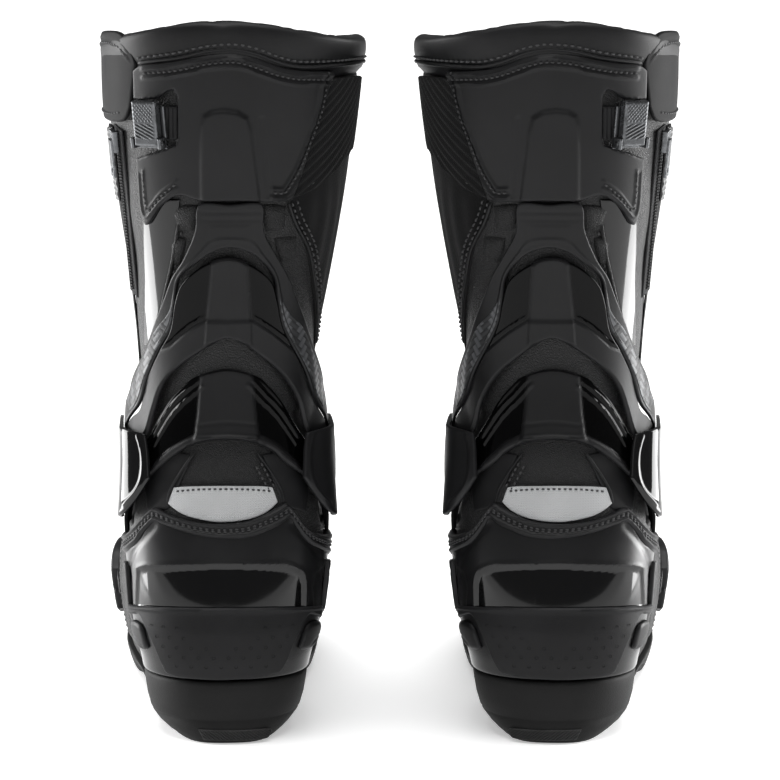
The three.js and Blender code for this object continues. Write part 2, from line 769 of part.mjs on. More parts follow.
const ladderStrap = () => {
  const [, z] = buckleAt;
  const half = drawn(strapWidth / 2);
  const ribs = [-38, -32, -26, -20.8].map((s) => [s, z + half, s, z - half]);
  return plate(ribs, 1, strapDepths);
};

// Zip: a straight track down the outer side, with a slider that runs along it.
const zipAt = [-61, 243];
const trackDepths = [liftOff, liftOff + 1.2];
function zipFrame() {
  const [s, z] = zipAt;
  const half = drawn(zipLength / 2);
  const top = fromBack(s, z + half, 0);
  const bottom = fromBack(s, z - half, 0);
  const up = top.clone().sub(bottom).normalize();
  const side = fromBack(s + 1, z, 0).sub(fromBack(s - 1, z, 0));
  const out = side.clone().cross(up).normalize();
  const along = up.clone().cross(out);
  const origin = top.add(bottom).multiplyScalar(0.5);
  return new THREE.Matrix4().makeBasis(along, up, out).setPosition(origin);
}
const trackLength = () => {
  const [s, z] = zipAt;
  const half = drawn(zipLength / 2);
  return fromBack(s, z + half, 0).distanceTo(fromBack(s, z - half, 0));
};
const zipTrack = () => {
  const half = trackLength() / 2;
  return boxIn(zipFrame(), [-zipWidth / 2, zipWidth / 2], [-half, half], trackDepths);
};
function zipSlider() {
  const top = trackLength() / 2;
  const across = [-zipWidth / 2 + 1, zipWidth / 2 - 1];
  const depths = [trackDepths[1] + fitGap, trackDepths[1] + fitGap + 2.2];
  return boxIn(zipFrame(), across, [top - zipSliderLength, top], depths);
}

// Finishes: colour, roughness, metalness
const finishes = {
  rubber: ["#1b1b1c", 0.75, 0],
  satin: ["#2c2d2f", 0.45, 0],
  gloss: ["#0b0b0d", 0.12, 0],
  leather: ["#1a1a1b", 0.6, 0],
  lining: ["#242426", 0.95, 0],
  carbon: ["#202225", 0.35, 0.1],
  reflective: ["#8d9092", 0.5, 0.2],
  gunmetal: ["#4b4e52", 0.35, 0.9],
};
const pieces = [
  ["outsole", outsole, "rubber"],
  ["heel_plug", heelPlug, "rubber"],
  ["insole", insole, "lining"],
  ["foot_upper", footUpper, "leather"],
  ["toe_slider", toeSlider, "satin"],
  ["toe_slider_screw", sliderScrew, "gunmetal"],
  ["shift_pad", shiftPad, "rubber"],
  ["heel_counter", heelCounter, "gloss"],
  ["heel_pad", heelPad, "satin"],
  ["heel_insert_outer", outerInsert, "satin"],
  ["heel_insert_inner", innerInsert, "satin"],
  ["lower_arch", lowerArch, "satin"],
  ["mid_arch", midArch, "gloss"],
  ["ankle_pivot_outer", () => pivotCap(false), "gloss"],
  ["ankle_pivot_inner", () => pivotCap(true), "satin"],
  ["reflective_patch", reflectivePatch, "reflective"],
  ["ankle_gaiter", ankleGaiter, "leather"],
  ["shaft", shaft, "leather"],
  ["collar", collar, "leather"],
  ["calf_plate", calfPlate, "satin"],
  ["yoke", yoke, "satin"],
  ["carbon_inlay_outer", () => carbonInlay(false), "carbon"],
  ["carbon_inlay_inner", () => carbonInlay(true), "carbon"],
  ["shin_plate", shinPlate, "satin"],
  ["front_flap", frontFlap, "leather"],
  ["buckle_base", buckleBase, "gunmetal"],
  ["buckle_lever", buckleLever, "gunmetal"],
  ["ladder_strap", ladderStrap, "rubber"],
  ["zip_track", zipTrack, "lining"],
  ["zip_slider", zipSlider, "gunmetal"],
];

const shapes = pieces.map(([name, make, finish]) => [name, make(), finish]);
function boot(side) {
  const group = new THREE.Group();
  for (const [name, geometry, finish] of shapes) {
    const [color, roughness, metalness] = finishes[finish];
    const material = new THREE.MeshStandardMaterial({ color, roughness, metalness });
    const mesh = new THREE.Mesh(geometry, material);
    mesh.name = `${name}_${side}`;
    group.add(mesh);
  }
  return group;
}

const left = boot("left");
left.rotation.z = THREE.MathUtils.degToRad(toeOut);
left.position.x = -pairSpacing / 2;
const rightBoot = boot("right");
rightBoot.rotation.z = THREE.MathUtils.degToRad(toeOut);
rightBoot.position.x = -pairSpacing / 2;
const right = new THREE.Group().add(rightBoot);
right.scale.x = -1;

const pair = new THREE.Group().add(left, right);
const reach = new THREE.Box3().setFromObject(pair, true);
left.position.y = -(reach.min.y + reach.max.y) / 2;
rightBoot.position.y = left.position.y;

export default pair;
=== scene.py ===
"""Riding boots: the look of a pair of leather road-race boots around the packed frame.

Outlines are in millimetres on the skin of the left boot: s runs along the skin from the back
seam, outer side negative, z is the height, and d is the distance out of the skin. The right
boot is the mirror image of the left one.
"""

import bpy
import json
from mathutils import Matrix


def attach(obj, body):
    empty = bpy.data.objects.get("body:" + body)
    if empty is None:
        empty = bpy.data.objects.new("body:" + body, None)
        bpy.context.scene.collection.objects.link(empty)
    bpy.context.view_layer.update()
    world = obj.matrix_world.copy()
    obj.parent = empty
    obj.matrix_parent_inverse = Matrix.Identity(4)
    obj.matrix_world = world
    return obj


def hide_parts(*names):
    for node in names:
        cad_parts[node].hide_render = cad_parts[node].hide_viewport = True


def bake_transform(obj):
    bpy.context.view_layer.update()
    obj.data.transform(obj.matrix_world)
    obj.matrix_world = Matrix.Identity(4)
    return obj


bl_info = {
    "name": "Riding boots",
    "version": (1, 0, 0),
    "blender": (4, 5, 0),
    "location": "View3D > Sidebar > Riding boots",
    "description": "Builds a pair of road-race boots around the packed frame",
    "category": "Object",
}

import json
import math

import bpy
import numpy as np
from mathutils import Vector

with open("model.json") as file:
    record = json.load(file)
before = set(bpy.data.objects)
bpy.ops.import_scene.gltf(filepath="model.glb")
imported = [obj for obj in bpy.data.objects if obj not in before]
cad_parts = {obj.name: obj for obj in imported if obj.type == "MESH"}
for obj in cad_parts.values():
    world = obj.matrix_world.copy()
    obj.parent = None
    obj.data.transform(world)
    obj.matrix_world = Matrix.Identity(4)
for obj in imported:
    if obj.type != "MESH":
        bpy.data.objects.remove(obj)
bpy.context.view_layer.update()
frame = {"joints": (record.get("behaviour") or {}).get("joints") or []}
MM = 0.001
SIDES = (("left", 1), ("right", -1))
WORDS = ((-1, "outer"), (1, "inner"))

# ---------------------------------------------------------------- the skin of the boot

# Height, back and front of the section, depth of its round back and front, and half-widths
# at the heel (outer, inner) and at the ball of the foot (outer, inner).
STATIONS = np.array(
    [
        [0, 7, 292, 36, 88, 33, 31, 43, 43],
        [30, 4, 296, 36, 92, 36, 35, 50, 50],
        [55, 3, 285, 38, 110, 41, 41, 52, 53],
        [75, 5, 245, 40, 118, 43, 44, 49, 49],
        [95, 9, 196, 43, 105, 45, 46, 46, 46],
        [115, 14, 158, 46, 82, 44, 45.5, 44, 45.5],
        [150, 20, 124, 49, 52, 38.5, 40, 38.5, 40],
        [180, 22, 116, 48, 44, 39.5, 42.5, 39.5, 42.5],
        [210, 19, 116, 50, 45, 42.5, 48.5, 42.5, 48.5],
        [250, 11, 121, 56, 52, 48, 55.5, 48, 55.5],
        [290, 4, 127, 61, 60, 52.5, 61, 52.5, 61],
        [332, 0, 132, 64, 66, 53, 65, 53, 65],
    ],
    float,
)
SQUARENESS = 2.25
ROUND_SHARE = 0.42
WIDENING = (70, 190)
PIVOT = (0, 68, 122)


def smooth(a, b, x):
    t = np.clip((np.asarray(x, float) - a) / (b - a), 0, 1)
    return t * t * (3 - 2 * t)


def mix(a, b, t):
    return a + (b - a) * t


def unit(v):
    return v / np.linalg.norm(v, axis=-1, keepdims=True)


def station_table():
    z, v = STATIONS[:, 0], STATIONS[:, 1:]
    slope = np.diff(v, axis=0) / np.diff(z)[:, None]
    below, above = np.diff(z)[:-1, None], np.diff(z)[1:, None]
    tangent = np.vstack(
        [slope[:1], (slope[:-1] * above + slope[1:] * below) / (above + below), slope[-1:]]
    )
    heights = np.arange(-8, 346, 0.5)
    i = np.clip(np.searchsorted(z, heights, side="right") - 1, 0, len(z) - 2)
    h = (z[i + 1] - z[i])[:, None]
    t = (heights - z[i])[:, None] / h
    start = (1 + 2 * t) * (1 - t) ** 2 * v[i] + t * (1 - t) ** 2 * h * tangent[i]
    end = t * t * (3 - 2 * t) * v[i + 1] - t * t * (1 - t) * h * tangent[i + 1]
    return heights, (start + end).T


HEIGHTS, CURVES = station_table()


def skin(t, z):
    """Points of the skin: t runs once round from the back seam, inner side first."""
    t, z = np.broadcast_arrays(np.mod(t, 1.0), np.asarray(z, float))
    inner = t < 0.5
    a = np.where(inner, 2 * t, 2 * (1 - t))
    back, front, tail, nose, heel_o, heel_i, ball_o, ball_i = (
        np.interp(z, HEIGHTS, c) for c in CURVES
    )
    back_angle = np.clip(a / ROUND_SHARE, 0, 1) * math.pi / 2
    front_angle = np.clip((1 - a) / ROUND_SHARE, 0, 1) * math.pi / 2
    angle = np.minimum(back_angle, front_angle)
    swell = (1 - np.clip(np.cos(angle), 0, 1) ** SQUARENESS) ** (1 / SQUARENESS)
    straight = mix(back + tail, front - nose, (a - ROUND_SHARE) / (1 - 2 * ROUND_SHARE))
    y = np.where(
        a <= ROUND_SHARE,
        back + tail - tail * np.cos(back_angle),
        np.where(a >= 1 - ROUND_SHARE, front - nose + nose * np.cos(front_angle), straight),
    )
    widen = smooth(*WIDENING, y)
    width = np.where(inner, mix(heel_i, ball_i, widen), mix(heel_o, ball_o, widen))
    return np.stack([np.where(inner, 1, -1) * width * swell, y, z], -1)


def on_skin(t, z, d):
    """The same points moved out of the skin by d."""
    t, z, d = np.broadcast_arrays(np.asarray(t, float), np.asarray(z, float), d)
    across = skin(t + 0.002, z) - skin(t - 0.002, z)
    up = skin(t, z + 0.5) - skin(t, z - 0.5)
    return skin(t, z) + unit(np.cross(across, up)) * d[..., None]


LENGTH_STEPS = 128
LENGTH_PITCH = 2.0
LENGTH_HEIGHTS = np.arange(-4, 342, LENGTH_PITCH)


def length_tables():
    """How far round the skin each step lies from the back seam: outer side, then inner side."""
    half = 0.5 * np.arange(LENGTH_STEPS + 1) / LENGTH_STEPS
    tables = []
    for turn in (1 - half, half):
        points = skin(turn[None, :], LENGTH_HEIGHTS[:, None])
        step = np.linalg.norm(np.diff(points, axis=1), axis=-1)
        tables.append(np.concatenate([np.zeros((len(step), 1)), np.cumsum(step, 1)], 1))
    return np.array(tables)


LENGTHS = length_tables()


def length_rows(inner, z):
    place = np.clip((z - LENGTH_HEIGHTS[0]) / LENGTH_PITCH, 0, len(LENGTH_HEIGHTS) - 1.001)
    low = place.astype(int)
    side = inner.astype(int)
    return mix(LENGTHS[side, low], LENGTHS[side, low + 1], (place - low)[:, None])


def half_girth(z, inner):
    z = np.atleast_1d(np.asarray(z, float))
    return length_rows(np.broadcast_to(np.asarray(inner), z.shape), z)[:, -1]


def turn_at(s, z):
    s, z = np.broadcast_arrays(np.asarray(s, float), np.asarray(z, float))
    flat_s, flat_z = s.ravel(), z.ravel()
    rows = length_rows(flat_s >= 0, flat_z)
    length = np.minimum(np.abs(flat_s), rows[:, -1] - 1e-6)
    i = np.clip((rows <= length[:, None]).sum(1) - 1, 0, LENGTH_STEPS - 1)
    n = np.arange(len(i))
    part = (length - rows[n, i]) / (rows[n, i + 1] - rows[n, i])
    half = 0.5 * (i + part) / LENGTH_STEPS
    return np.where(flat_s >= 0, half, 1 - half).reshape(s.shape)


def from_back(s, z, d):
    return on_skin(turn_at(s, z), z, d)


def from_front(s, z, d):
    """Here s starts at the front centre line and is positive towards the outer side."""
    s, z = np.broadcast_arrays(np.asarray(s, float), np.asarray(z, float))
    back = half_girth(z.ravel(), s.ravel() <= 0).reshape(s.shape) - np.abs(s)
    return on_skin(turn_at(np.where(s <= 0, back, -back), z), z, d)


ANKLE = next(j for j in frame["joints"] if j["name"] == "ankle_flex_left")
TOE_OUT = math.atan2(-ANKLE["axis"][1], -ANKLE["axis"][0])
TURN = np.array([[math.cos(TOE_OUT), -math.sin(TOE_OUT)], [math.sin(TOE_OUT), math.cos(TOE_OUT)]])
ORIGIN = np.array(ANKLE["pos_m"][:2]) - TURN @ np.array(PIVOT[:2]) * MM


def to_frame(points):
    """Millimetres in the left boot's own frame to metres in the frame of the pair."""
    out = np.array(points, float) * MM
    out[..., :2] = out[..., :2] @ TURN.T + ORIGIN
    return out


# ------------------------------------------------------------- lines and outlines on the skin


def spline(points, per=8):
    """A smooth line through the points, with `per` steps between each two."""
    p = np.asarray(points, float)
    ends = np.vstack([p[0], p, p[-1]])
    t = np.arange(per)[:, None] / per
    out = []
    for i in range(len(p) - 1):
        a, b, c, d = ends[i : i + 4]
        square, cube = 2 * a - 5 * b + 4 * c - d, 3 * b - a - 3 * c + d
        out.append(0.5 * (2 * b + (c - a) * t + square * t**2 + cube * t**3))
    return np.vstack([*out, p[-1:]])


def drawn(points, smoothed=True):
    return spline(points) if smoothed and len(points) > 2 else np.asarray(points, float)


def steps_of(line):
    return np.linalg.norm(np.diff(np.asarray(line, float), axis=0), axis=1)


def length_of(line):
    return float(steps_of(line).sum())


def runs_of(line):
    """Distance from the line's start to each of its points."""
    return np.concatenate([[0], np.cumsum(steps_of(line))])


def between(places, known, rows):
    """Rows of a table at places between the known ones."""
    return np.stack([np.interp(places, known, c) for c in np.asarray(rows, float).T], -1)


def along(line, distances):
    return between(distances, runs_of(line), line)


def nearest(line, s, z):
    """Distance to a line and the nearest point on it."""
    line = np.asarray(line, float)
    p = np.stack([np.ravel(s), np.ravel(z)], 1)
    best, near = np.full(len(p), 1e9), p.copy()
    for a, b in zip(line[:-1], line[1:]):
        ab = b - a
        t = np.clip((p - a) @ ab / max(ab @ ab, 1e-9), 0, 1)
        q = a + t[:, None] * ab
        d = np.hypot(*(p - q).T)
        closer = d < best
        best[closer], near[closer] = d[closer], q[closer]
    return best.reshape(np.shape(s)), near.reshape(np.shape(s) + (2,))


def closed(points):
    p = np.asarray(points, float)
    return np.vstack([p, p[:1]])


def inside(outline, s, z):
    """How far a point lies inside a closed outline; negative outside it."""
    loop = closed(outline)
    ps, pz = np.ravel(s), np.ravel(z)
    odd = np.zeros(len(ps), bool)
    for (x0, y0), (x1, y1) in zip(loop[:-1], loop[1:]):
        if y0 == y1:
            continue
        crosses = (y0 > pz) != (y1 > pz)
        odd ^= crosses & (ps < (x1 - x0) * (pz - y0) / (y1 - y0) + x0)
    d, _ = nearest(loop, s, z)
    return np.where(odd.reshape(np.shape(s)), d, -d)


def ridge(points, height, width, smoothed=True):
    """A raised (or sunk) line."""
    line = drawn(points, smoothed)
    return lambda s, z: height * (1 - smooth(0, width, nearest(line, s, z)[0]))


def field(outline, height, soft=0.8):
    """A raised (or sunk) area."""
    return lambda s, z: height * smooth(0, soft, inside(outline, s, z))


def area(outline, soft=0.6):
    """1 inside an outline and 0 outside it, for painting."""
    return lambda s, z: smooth(-soft, soft, inside(outline, s, z))


def total(*parts):
    return lambda s, z: sum(p(s, z) for p in parts)


# ----------------------------------------------------------------- meshes in the boot's frame


class Shape:
    """Points in the boot's frame, faces, the flat place of each point, and painted values."""

    def __init__(self, points, faces, flat=None, paint=None):
        self.points = np.asarray(points, float).reshape(-1, 3)
        self.faces = faces
        self.flat = self.points[:, :2] if flat is None else np.asarray(flat, float).reshape(-1, 2)
        self.paint = {k: np.asarray(v, float).ravel() for k, v in (paint or {}).items()}


def together(shapes):
    """Several shapes as one."""
    shapes = list(shapes)
    faces, start = [], 0
    for s in shapes:
        faces += [tuple(i + start for i in f) for f in s.faces]
        start += len(s.points)
    names = sorted({k for s in shapes for k in s.paint})
    paint = {k: np.concatenate([s.paint.get(k, np.zeros(len(s.points))) for s in shapes]) for k in names}
    points, flat = (np.concatenate([getattr(s, part) for s in shapes]) for part in ("points", "flat"))
    return Shape(points, faces, flat, paint)


def quads(rows, columns):
    """Faces of a grid of points."""
    at = lambda i, j: i * columns + j
    return [(at(i, j), at(i + 1, j), at(i + 1, j + 1), at(i, j + 1))
            for i in range(rows - 1) for j in range(columns - 1)]


def tube(rows, sides, start=0, flip=False):
    """Faces of a tube made of rings of points, with a lid on both ends."""
    at = lambda j, k: start + j * sides + k % sides
    a, b = (1, 0) if flip else (0, 1)
    faces = [(at(j, k + a), at(j, k + b), at(j + 1, k + b), at(j + 1, k + a))
             for j in range(rows - 1) for k in range(sides)]
    lids = [tuple(at(j, k) for k in range(sides)) for j in (0, rows - 1)]
    lids[flip] = lids[flip][::-1]
    return faces + lids


def circle(sides):
    turn = 2 * math.pi * np.arange(sides) / sides
    return np.cos(turn), np.sin(turn)


def spaced(length, step, rim):
    """Distances over a length, with a few close to each end where the rim is rounded."""
    rim = min(rim, 0.45 * length)
    edge = rim * np.array([0, 0.1, 0.35, 1.0])
    count = max(1, round((length - 2 * rim) / step))
    middle = np.linspace(rim, length - rim, count + 1)
    return np.concatenate([edge[:3], middle, length - edge[2::-1]])


def panel_grid(high, low, step, rim):
    """Flat places of a plate's points, which lie closer together where its rim is rounded."""
    run = runs_of((high + low) / 2)
    columns = spaced(run[-1], step, rim)
    high, low = between(columns, run, high), between(columns, run, low)
    tall = np.linalg.norm(high - low, axis=1)[:, None]
    most = tall.max()
    rows = spaced(most, step, rim)[None, :]
    share = np.clip(0.45 * tall / rim, 0, 1)
    to_edge = np.minimum(rows, most - rows)
    reach = np.minimum(to_edge, rim) * share
    middle = rim * share + (rows - rim) / max(most - 2 * rim, 1e-6) * (tall - 2 * rim * share)
    v = np.where(to_edge <= rim, np.where(rows > most / 2, tall - reach, reach), middle) / tall
    return low[:, None] + (high - low)[:, None] * v[..., None]


def cut(flat, hole, step):
    """Moves the points beside a hole onto its edge and says which points lie in it."""
    depth = inside(hole, flat[..., 0], flat[..., 1])
    d, near = nearest(closed(hole), flat[..., 0], flat[..., 1])
    snap = d < 0.5 * step
    flat[snap] = near[snap]
    depth[snap] = 0
    return depth > 1e-6


def panel(
    ribs, thick, base=0, step=1.2, rim=0.8, relief=None, place=from_back, holes=(),
    paint=None, smoothed=True,
):
    """A plate with rounded rims. Each rib [s, z, s, z] goes from its upper to its lower edge."""
    ribs = np.asarray(ribs, float)
    if smoothed:
        ribs = spline(ribs)
    else:
        last = len(ribs) - 1
        ribs = between(np.linspace(0, last, 12 * last + 1), np.arange(last + 1), ribs)
    flat = panel_grid(ribs[:, :2], ribs[:, 2:], step, rim)
    n, m = flat.shape[:2]
    border = np.vstack([flat[:, 0], flat[-1, 1:], flat[-2::-1, -1], flat[0, -2:0:-1]])
    keep = np.ones((n - 1, m - 1), bool)
    for hole in holes:
        gone = cut(flat, hole, step)
        keep &= ~(gone[:-1, :-1] | gone[1:, :-1] | gone[:-1, 1:] | gone[1:, 1:])
    s, z = flat[..., 0], flat[..., 1]
    edge = np.min([nearest(closed(line), s, z)[0] for line in (border, *holes)], axis=0)
    drop = rim - np.sqrt(np.maximum(rim**2 - (rim - np.minimum(edge, rim)) ** 2, 0))
    height = thick - np.minimum(drop, 0.85 * thick)
    if relief is not None:
        height = height + relief(s, z) * smooth(0, 1.2 * rim, edge)
    top = place(s, z, base + height)
    painted = {"rim": 1 - smooth(0, 1.5 * rim, edge)}
    for name, value in (paint or {}).items():
        painted[name] = np.broadcast_to(value(s, z), s.shape)
    if holes:
        under, faces = place(s, z, base + 0 * s), both_sides(keep, m)
        lower = np.arange(n * m)
    else:
        lower, faces = underside(n, m)
        under = place(s.ravel()[lower], z.ravel()[lower], base + 0 * s.ravel()[lower])
    points = np.concatenate([top.reshape(-1, 3), under.reshape(-1, 3)])
    flats = np.concatenate([flat.reshape(-1, 2), flat.reshape(-1, 2)[lower]])
    painted = {k: np.concatenate([v.ravel(), v.ravel()[lower]]) for k, v in painted.items()}
    return used_only(Shape(points, faces, flats, painted))


def both_sides(keep, columns):
    """Faces of a plate with holes: the kept ones, the same below, and walls between them."""
    count = (keep.shape[0] + 1) * columns
    faces, edges = [], {}
    for i, j in zip(*np.nonzero(keep)):
        first = i * columns + j
        loop = (first, first + columns, first + columns + 1, first + 1)
        faces += [loop, tuple(k + count for k in reversed(loop))]
        edges.update({pair: True for pair in zip(loop, loop[1:] + loop[:1])})
    walls = [(b, a, a + count, b + count) for a, b in edges if (b, a) not in edges]
    return faces + walls


def underside(n, m):
    """The points round a grid's border, and the faces of a plate with a plain underside."""
    rim = [(i, 0) for i in range(n)] + [(n - 1, j) for j in range(1, m)]
    rim += [(i, m - 1) for i in range(n - 2, -1, -1)] + [(0, j) for j in range(m - 2, 0, -1)]
    above = [i * m + j for i, j in rim]
    below = {ij: n * m + k for k, ij in enumerate(rim)}
    faces = quads(n, m)
    for k, ij in enumerate(rim):
        after = (k + 1) % len(rim)
        faces.append((above[after], above[k], below[ij], below[rim[after]]))
    for i in range(n - 1):
        near = [below[0, j] for j in range(1, m - 1)] if i == 0 else []
        far = [below[n - 1, j] for j in range(m - 2, 0, -1)] if i == n - 2 else []
        faces.append((below[i, 0], *near, below[i, m - 1], below[i + 1, m - 1], *far, below[i + 1, 0]))
    return above, faces


def used_only(shape):
    """Drops the points that no face uses."""
    used = sorted({i for f in shape.faces for i in f})
    if len(used) == len(shape.points):
        return shape
    new = {old: k for k, old in enumerate(used)}
    faces = [tuple(new[i] for i in f) for f in shape.faces]
    paint = {k: v[used] for k, v in shape.paint.items()}
    return Shape(shape.points[used], faces, shape.flat[used], paint)


def ring(profile, columns, relief=None, paint=None):
    """A tube round the boot. profile(share) gives heights and depths of each column's loop."""
    share = -1 + 2 * np.arange(columns)[:, None] / columns
    z, d, outer = profile(share)
    z, d = np.broadcast_arrays(z, d)
    inner = np.broadcast_to(share >= 0, z.shape)
    s = share * half_girth(z.ravel(), inner.ravel()).reshape(z.shape)
    if relief is not None:
        d = d + relief(s, z) * outer
    n, m = z.shape
    at = lambda i, k: (i % n) * m + k % m
    faces = [(at(i, k), at(i + 1, k), at(i + 1, k + 1), at(i, k + 1)) for i in range(n) for k in range(m)]
    painted = {k: np.broadcast_to(v(s, z), s.shape) for k, v in (paint or {}).items()}
    return Shape(from_back(s, z, d), faces, np.stack([s, z], -1), painted)


def wall(bottom, top, out, thick, rows, lip=5, inner_rows=8):
    """Loop of a wall: up the outside, over a rounded lip and down the inside."""

    def profile(share):
        low, high = bottom(share), top(share)
        radius = thick / 2
        v = np.linspace(0, 1, rows)[None, :]
        turn = np.linspace(0, math.pi, lip + 2)[None, 1:-1]
        w = np.linspace(1, 0, inner_rows)[None, :]
        z_lip = high - radius + radius * np.sin(turn)
        z_out, z_in = (low + (high - radius - low) * part for part in (v, w))
        d_lip = -radius + radius * np.cos(turn)
        d = np.concatenate([0 * z_out, d_lip + 0 * z_lip, 0 * z_in - thick], axis=1) + out(share)
        outer = np.concatenate([0 * v + 1, 0 * turn, 0 * w], axis=1)
        return np.concatenate([z_out, z_lip, z_in], axis=1), d, outer

    return profile


def stacked(columns, rows, point, lid_rows):
    """A closed block from rings, with lids that run from side to side."""
    rings = [point(np.arange(columns) / columns, row) for row in rows]
    faces = tube(len(rows), columns)[:-2]
    half, extra = columns // 2, []
    for level, order in ((len(rows) - 1, 1), (0, -1)):
        grid = {}
        for i in range(half + 1):
            far = (columns - i) % columns
            near_end, far_end = level * columns + i, level * columns + far
            for k in range(1, lid_rows):
                grid[i, k] = near_end
                if i not in (0, half):
                    grid[i, k] = len(rows) * columns + len(extra)
                    extra.append(mix(rings[level][i], rings[level][far], k / lid_rows))
            grid[i, 0], grid[i, lid_rows] = near_end, far_end
        for i in range(half):
            for k in range(lid_rows):
                f = [grid[i, k], grid[i + 1, k], grid[i + 1, k + 1], grid[i, k + 1]]
                f = [a for a, b in zip(f, f[1:] + f[:1]) if a != b]
                if len(f) > 2:
                    faces.append(tuple(f[::order]))
    return Shape(np.concatenate([*rings, np.array(extra)]), faces)


def bead(line, radius, d, sides=8, step=1.2, place=from_back, flatten=1.0, taper=2.0):
    """A round cord or moulded bead that follows a line and thins at its ends."""
    length = length_of(line)
    at = np.linspace(0, length, max(3, round(length / step) + 1))
    flat = along(line, at)
    centre = place(flat[:, 0], flat[:, 1], d + 0 * at)
    out = unit(place(flat[:, 0], flat[:, 1], d + 1 + 0 * at) - centre)
    across = unit(np.cross(out, unit(np.gradient(centre, axis=0))))
    end = np.clip(np.minimum(at, length - at) / taper, 0, 1)
    size = (radius * np.sqrt(np.maximum(1 - (1 - end) ** 2, 0.02)))[:, None]
    cos, sin = circle(sides)
    points = (centre[:, None] + across[:, None] * (size * cos)[..., None]
              + out[:, None] * (flatten * size * sin)[..., None])
    return Shape(points, tube(len(at), sides, flip=True), np.repeat(flat, sides, axis=0))


def stitches(line, d, place=from_back, pitch=None, smoothed=True, sides=6):
    """A row of thread stitches that dip into the material at both ends."""
    sizes = bpy.context.scene.boot_sizes
    pitch = pitch or sizes.stitch_pitch / MM
    length, width = 0.66 * pitch, sizes.thread_width / MM
    line = drawn(line, smoothed)
    count = int(length_of(line) / pitch)
    middle = (np.arange(count) + 0.5) * length_of(line) / max(count, 1)
    steps = np.array([-0.5, -0.3, 0, 0.3, 0.5])
    radii = np.array([0.45, 0.95, 1.0, 0.95, 0.45]) * width / 2
    dips = np.tile(np.array([-0.5, 0.15, 0.3, 0.15, -0.5]) * width, count)
    flat = along(line, (middle[:, None] + steps * length).ravel())
    centre = place(flat[:, 0], flat[:, 1], d + dips)
    out = unit((place(flat[:, 0], flat[:, 1], d + dips + 1) - centre).reshape(count, 5, 3))
    centre = centre.reshape(count, 5, 3)
    across = np.cross(out, unit((centre[:, -1] - centre[:, 0])[:, None]))
    cos, sin = (wave[:, None] * radii[:, None, None] for wave in circle(sides))
    points = centre[:, :, None] + across[:, :, None] * cos + out[:, :, None] * sin
    faces = [f for c in range(count) for f in tube(5, sides, c * 5 * sides, flip=True)]
    return Shape(points, faces, np.repeat(flat, sides, axis=0))


def beside(line, offset):
    """The same line moved sideways by offset (to the left of its direction)."""
    line = spline(line)
    ahead = unit(np.gradient(line, axis=0))
    return line + np.stack([-ahead[:, 1], ahead[:, 0]], 1) * offset


class Flat:
    """A flat frame that touches the skin: a runs along it, b up and d outwards."""

    def __init__(self, origin, side, up, out):
        self.origin, self.axes = origin, (side, up, out)

    def __call__(self, a, b, d):
        a, b, d = np.broadcast_arrays(a, b, d)
        p, q, r = self.axes
        return self.origin + a[..., None] * p + b[..., None] * q + d[..., None] * r

    def turned(self, profile, sides=36):
        """A turned piece round the outward axis; profile holds (radius, d) from inside out."""
        cos, sin = circle(sides)
        rows = [self(r * cos, r * sin, d) for r, d in profile]
        return Shape(np.concatenate(rows), tube(len(rows), sides))

    def rod(self, radius, ends, b, d, sides=16, bevel=0.2):
        """A rod that lies along the frame, with bevelled ends."""
        cos, sin = circle(sides)
        first, last = ends
        profile = [(first, radius - bevel), (first + bevel, radius), (last - bevel, radius),
                   (last, radius - bevel)]
        rows = [self(a, b + r * cos, d + r * sin) for a, r in profile]
        return Shape(np.concatenate(rows), tube(len(rows), sides))

    def slab(self, a, b, d0, d1, rim=0.3, step=1.0, relief=None):
        """A rounded block between ranges of a and b."""
        ribs = [[side, b[1], side, b[0]] for side in a]
        return panel(ribs, d1 - d0, base=d0, step=step, rim=rim, relief=relief, place=self, smoothed=False)


def spot(place, s, z, d=0):
    """One point."""
    return place(*np.array([[s], [z], [d]], float))[0]


def flat_at(s, z, place=from_back):
    """The flat frame that touches the skin at one point."""
    side = unit(spot(place, s + 1, z) - spot(place, s - 1, z))
    out = unit(spot(place, s, z, 1) - spot(place, s, z))
    return Flat(spot(place, s, z), side, np.cross(out, side), out)


# ------------------------------------------------------------------------------- materials


class Value:
    """A socket of a finish's node tree that can stand in a sum."""

    def __init__(self, finish, socket):
        self.finish, self.socket = finish, socket

    def of(self, name):
        return Value(self.finish, self.socket.node.outputs[name])

    def __add__(self, other):
        return self.finish.sum("ADD", self, other)

    def __sub__(self, other):
        return self.finish.sum("SUBTRACT", self, other)

    def __rsub__(self, other):
        return self.finish.sum("SUBTRACT", other, self)

    def __mul__(self, other):
        return self.finish.sum("MULTIPLY", self, other)

    def __truediv__(self, other):
        return self.finish.sum("DIVIDE", self, other)

    __radd__, __rmul__ = __add__, __mul__


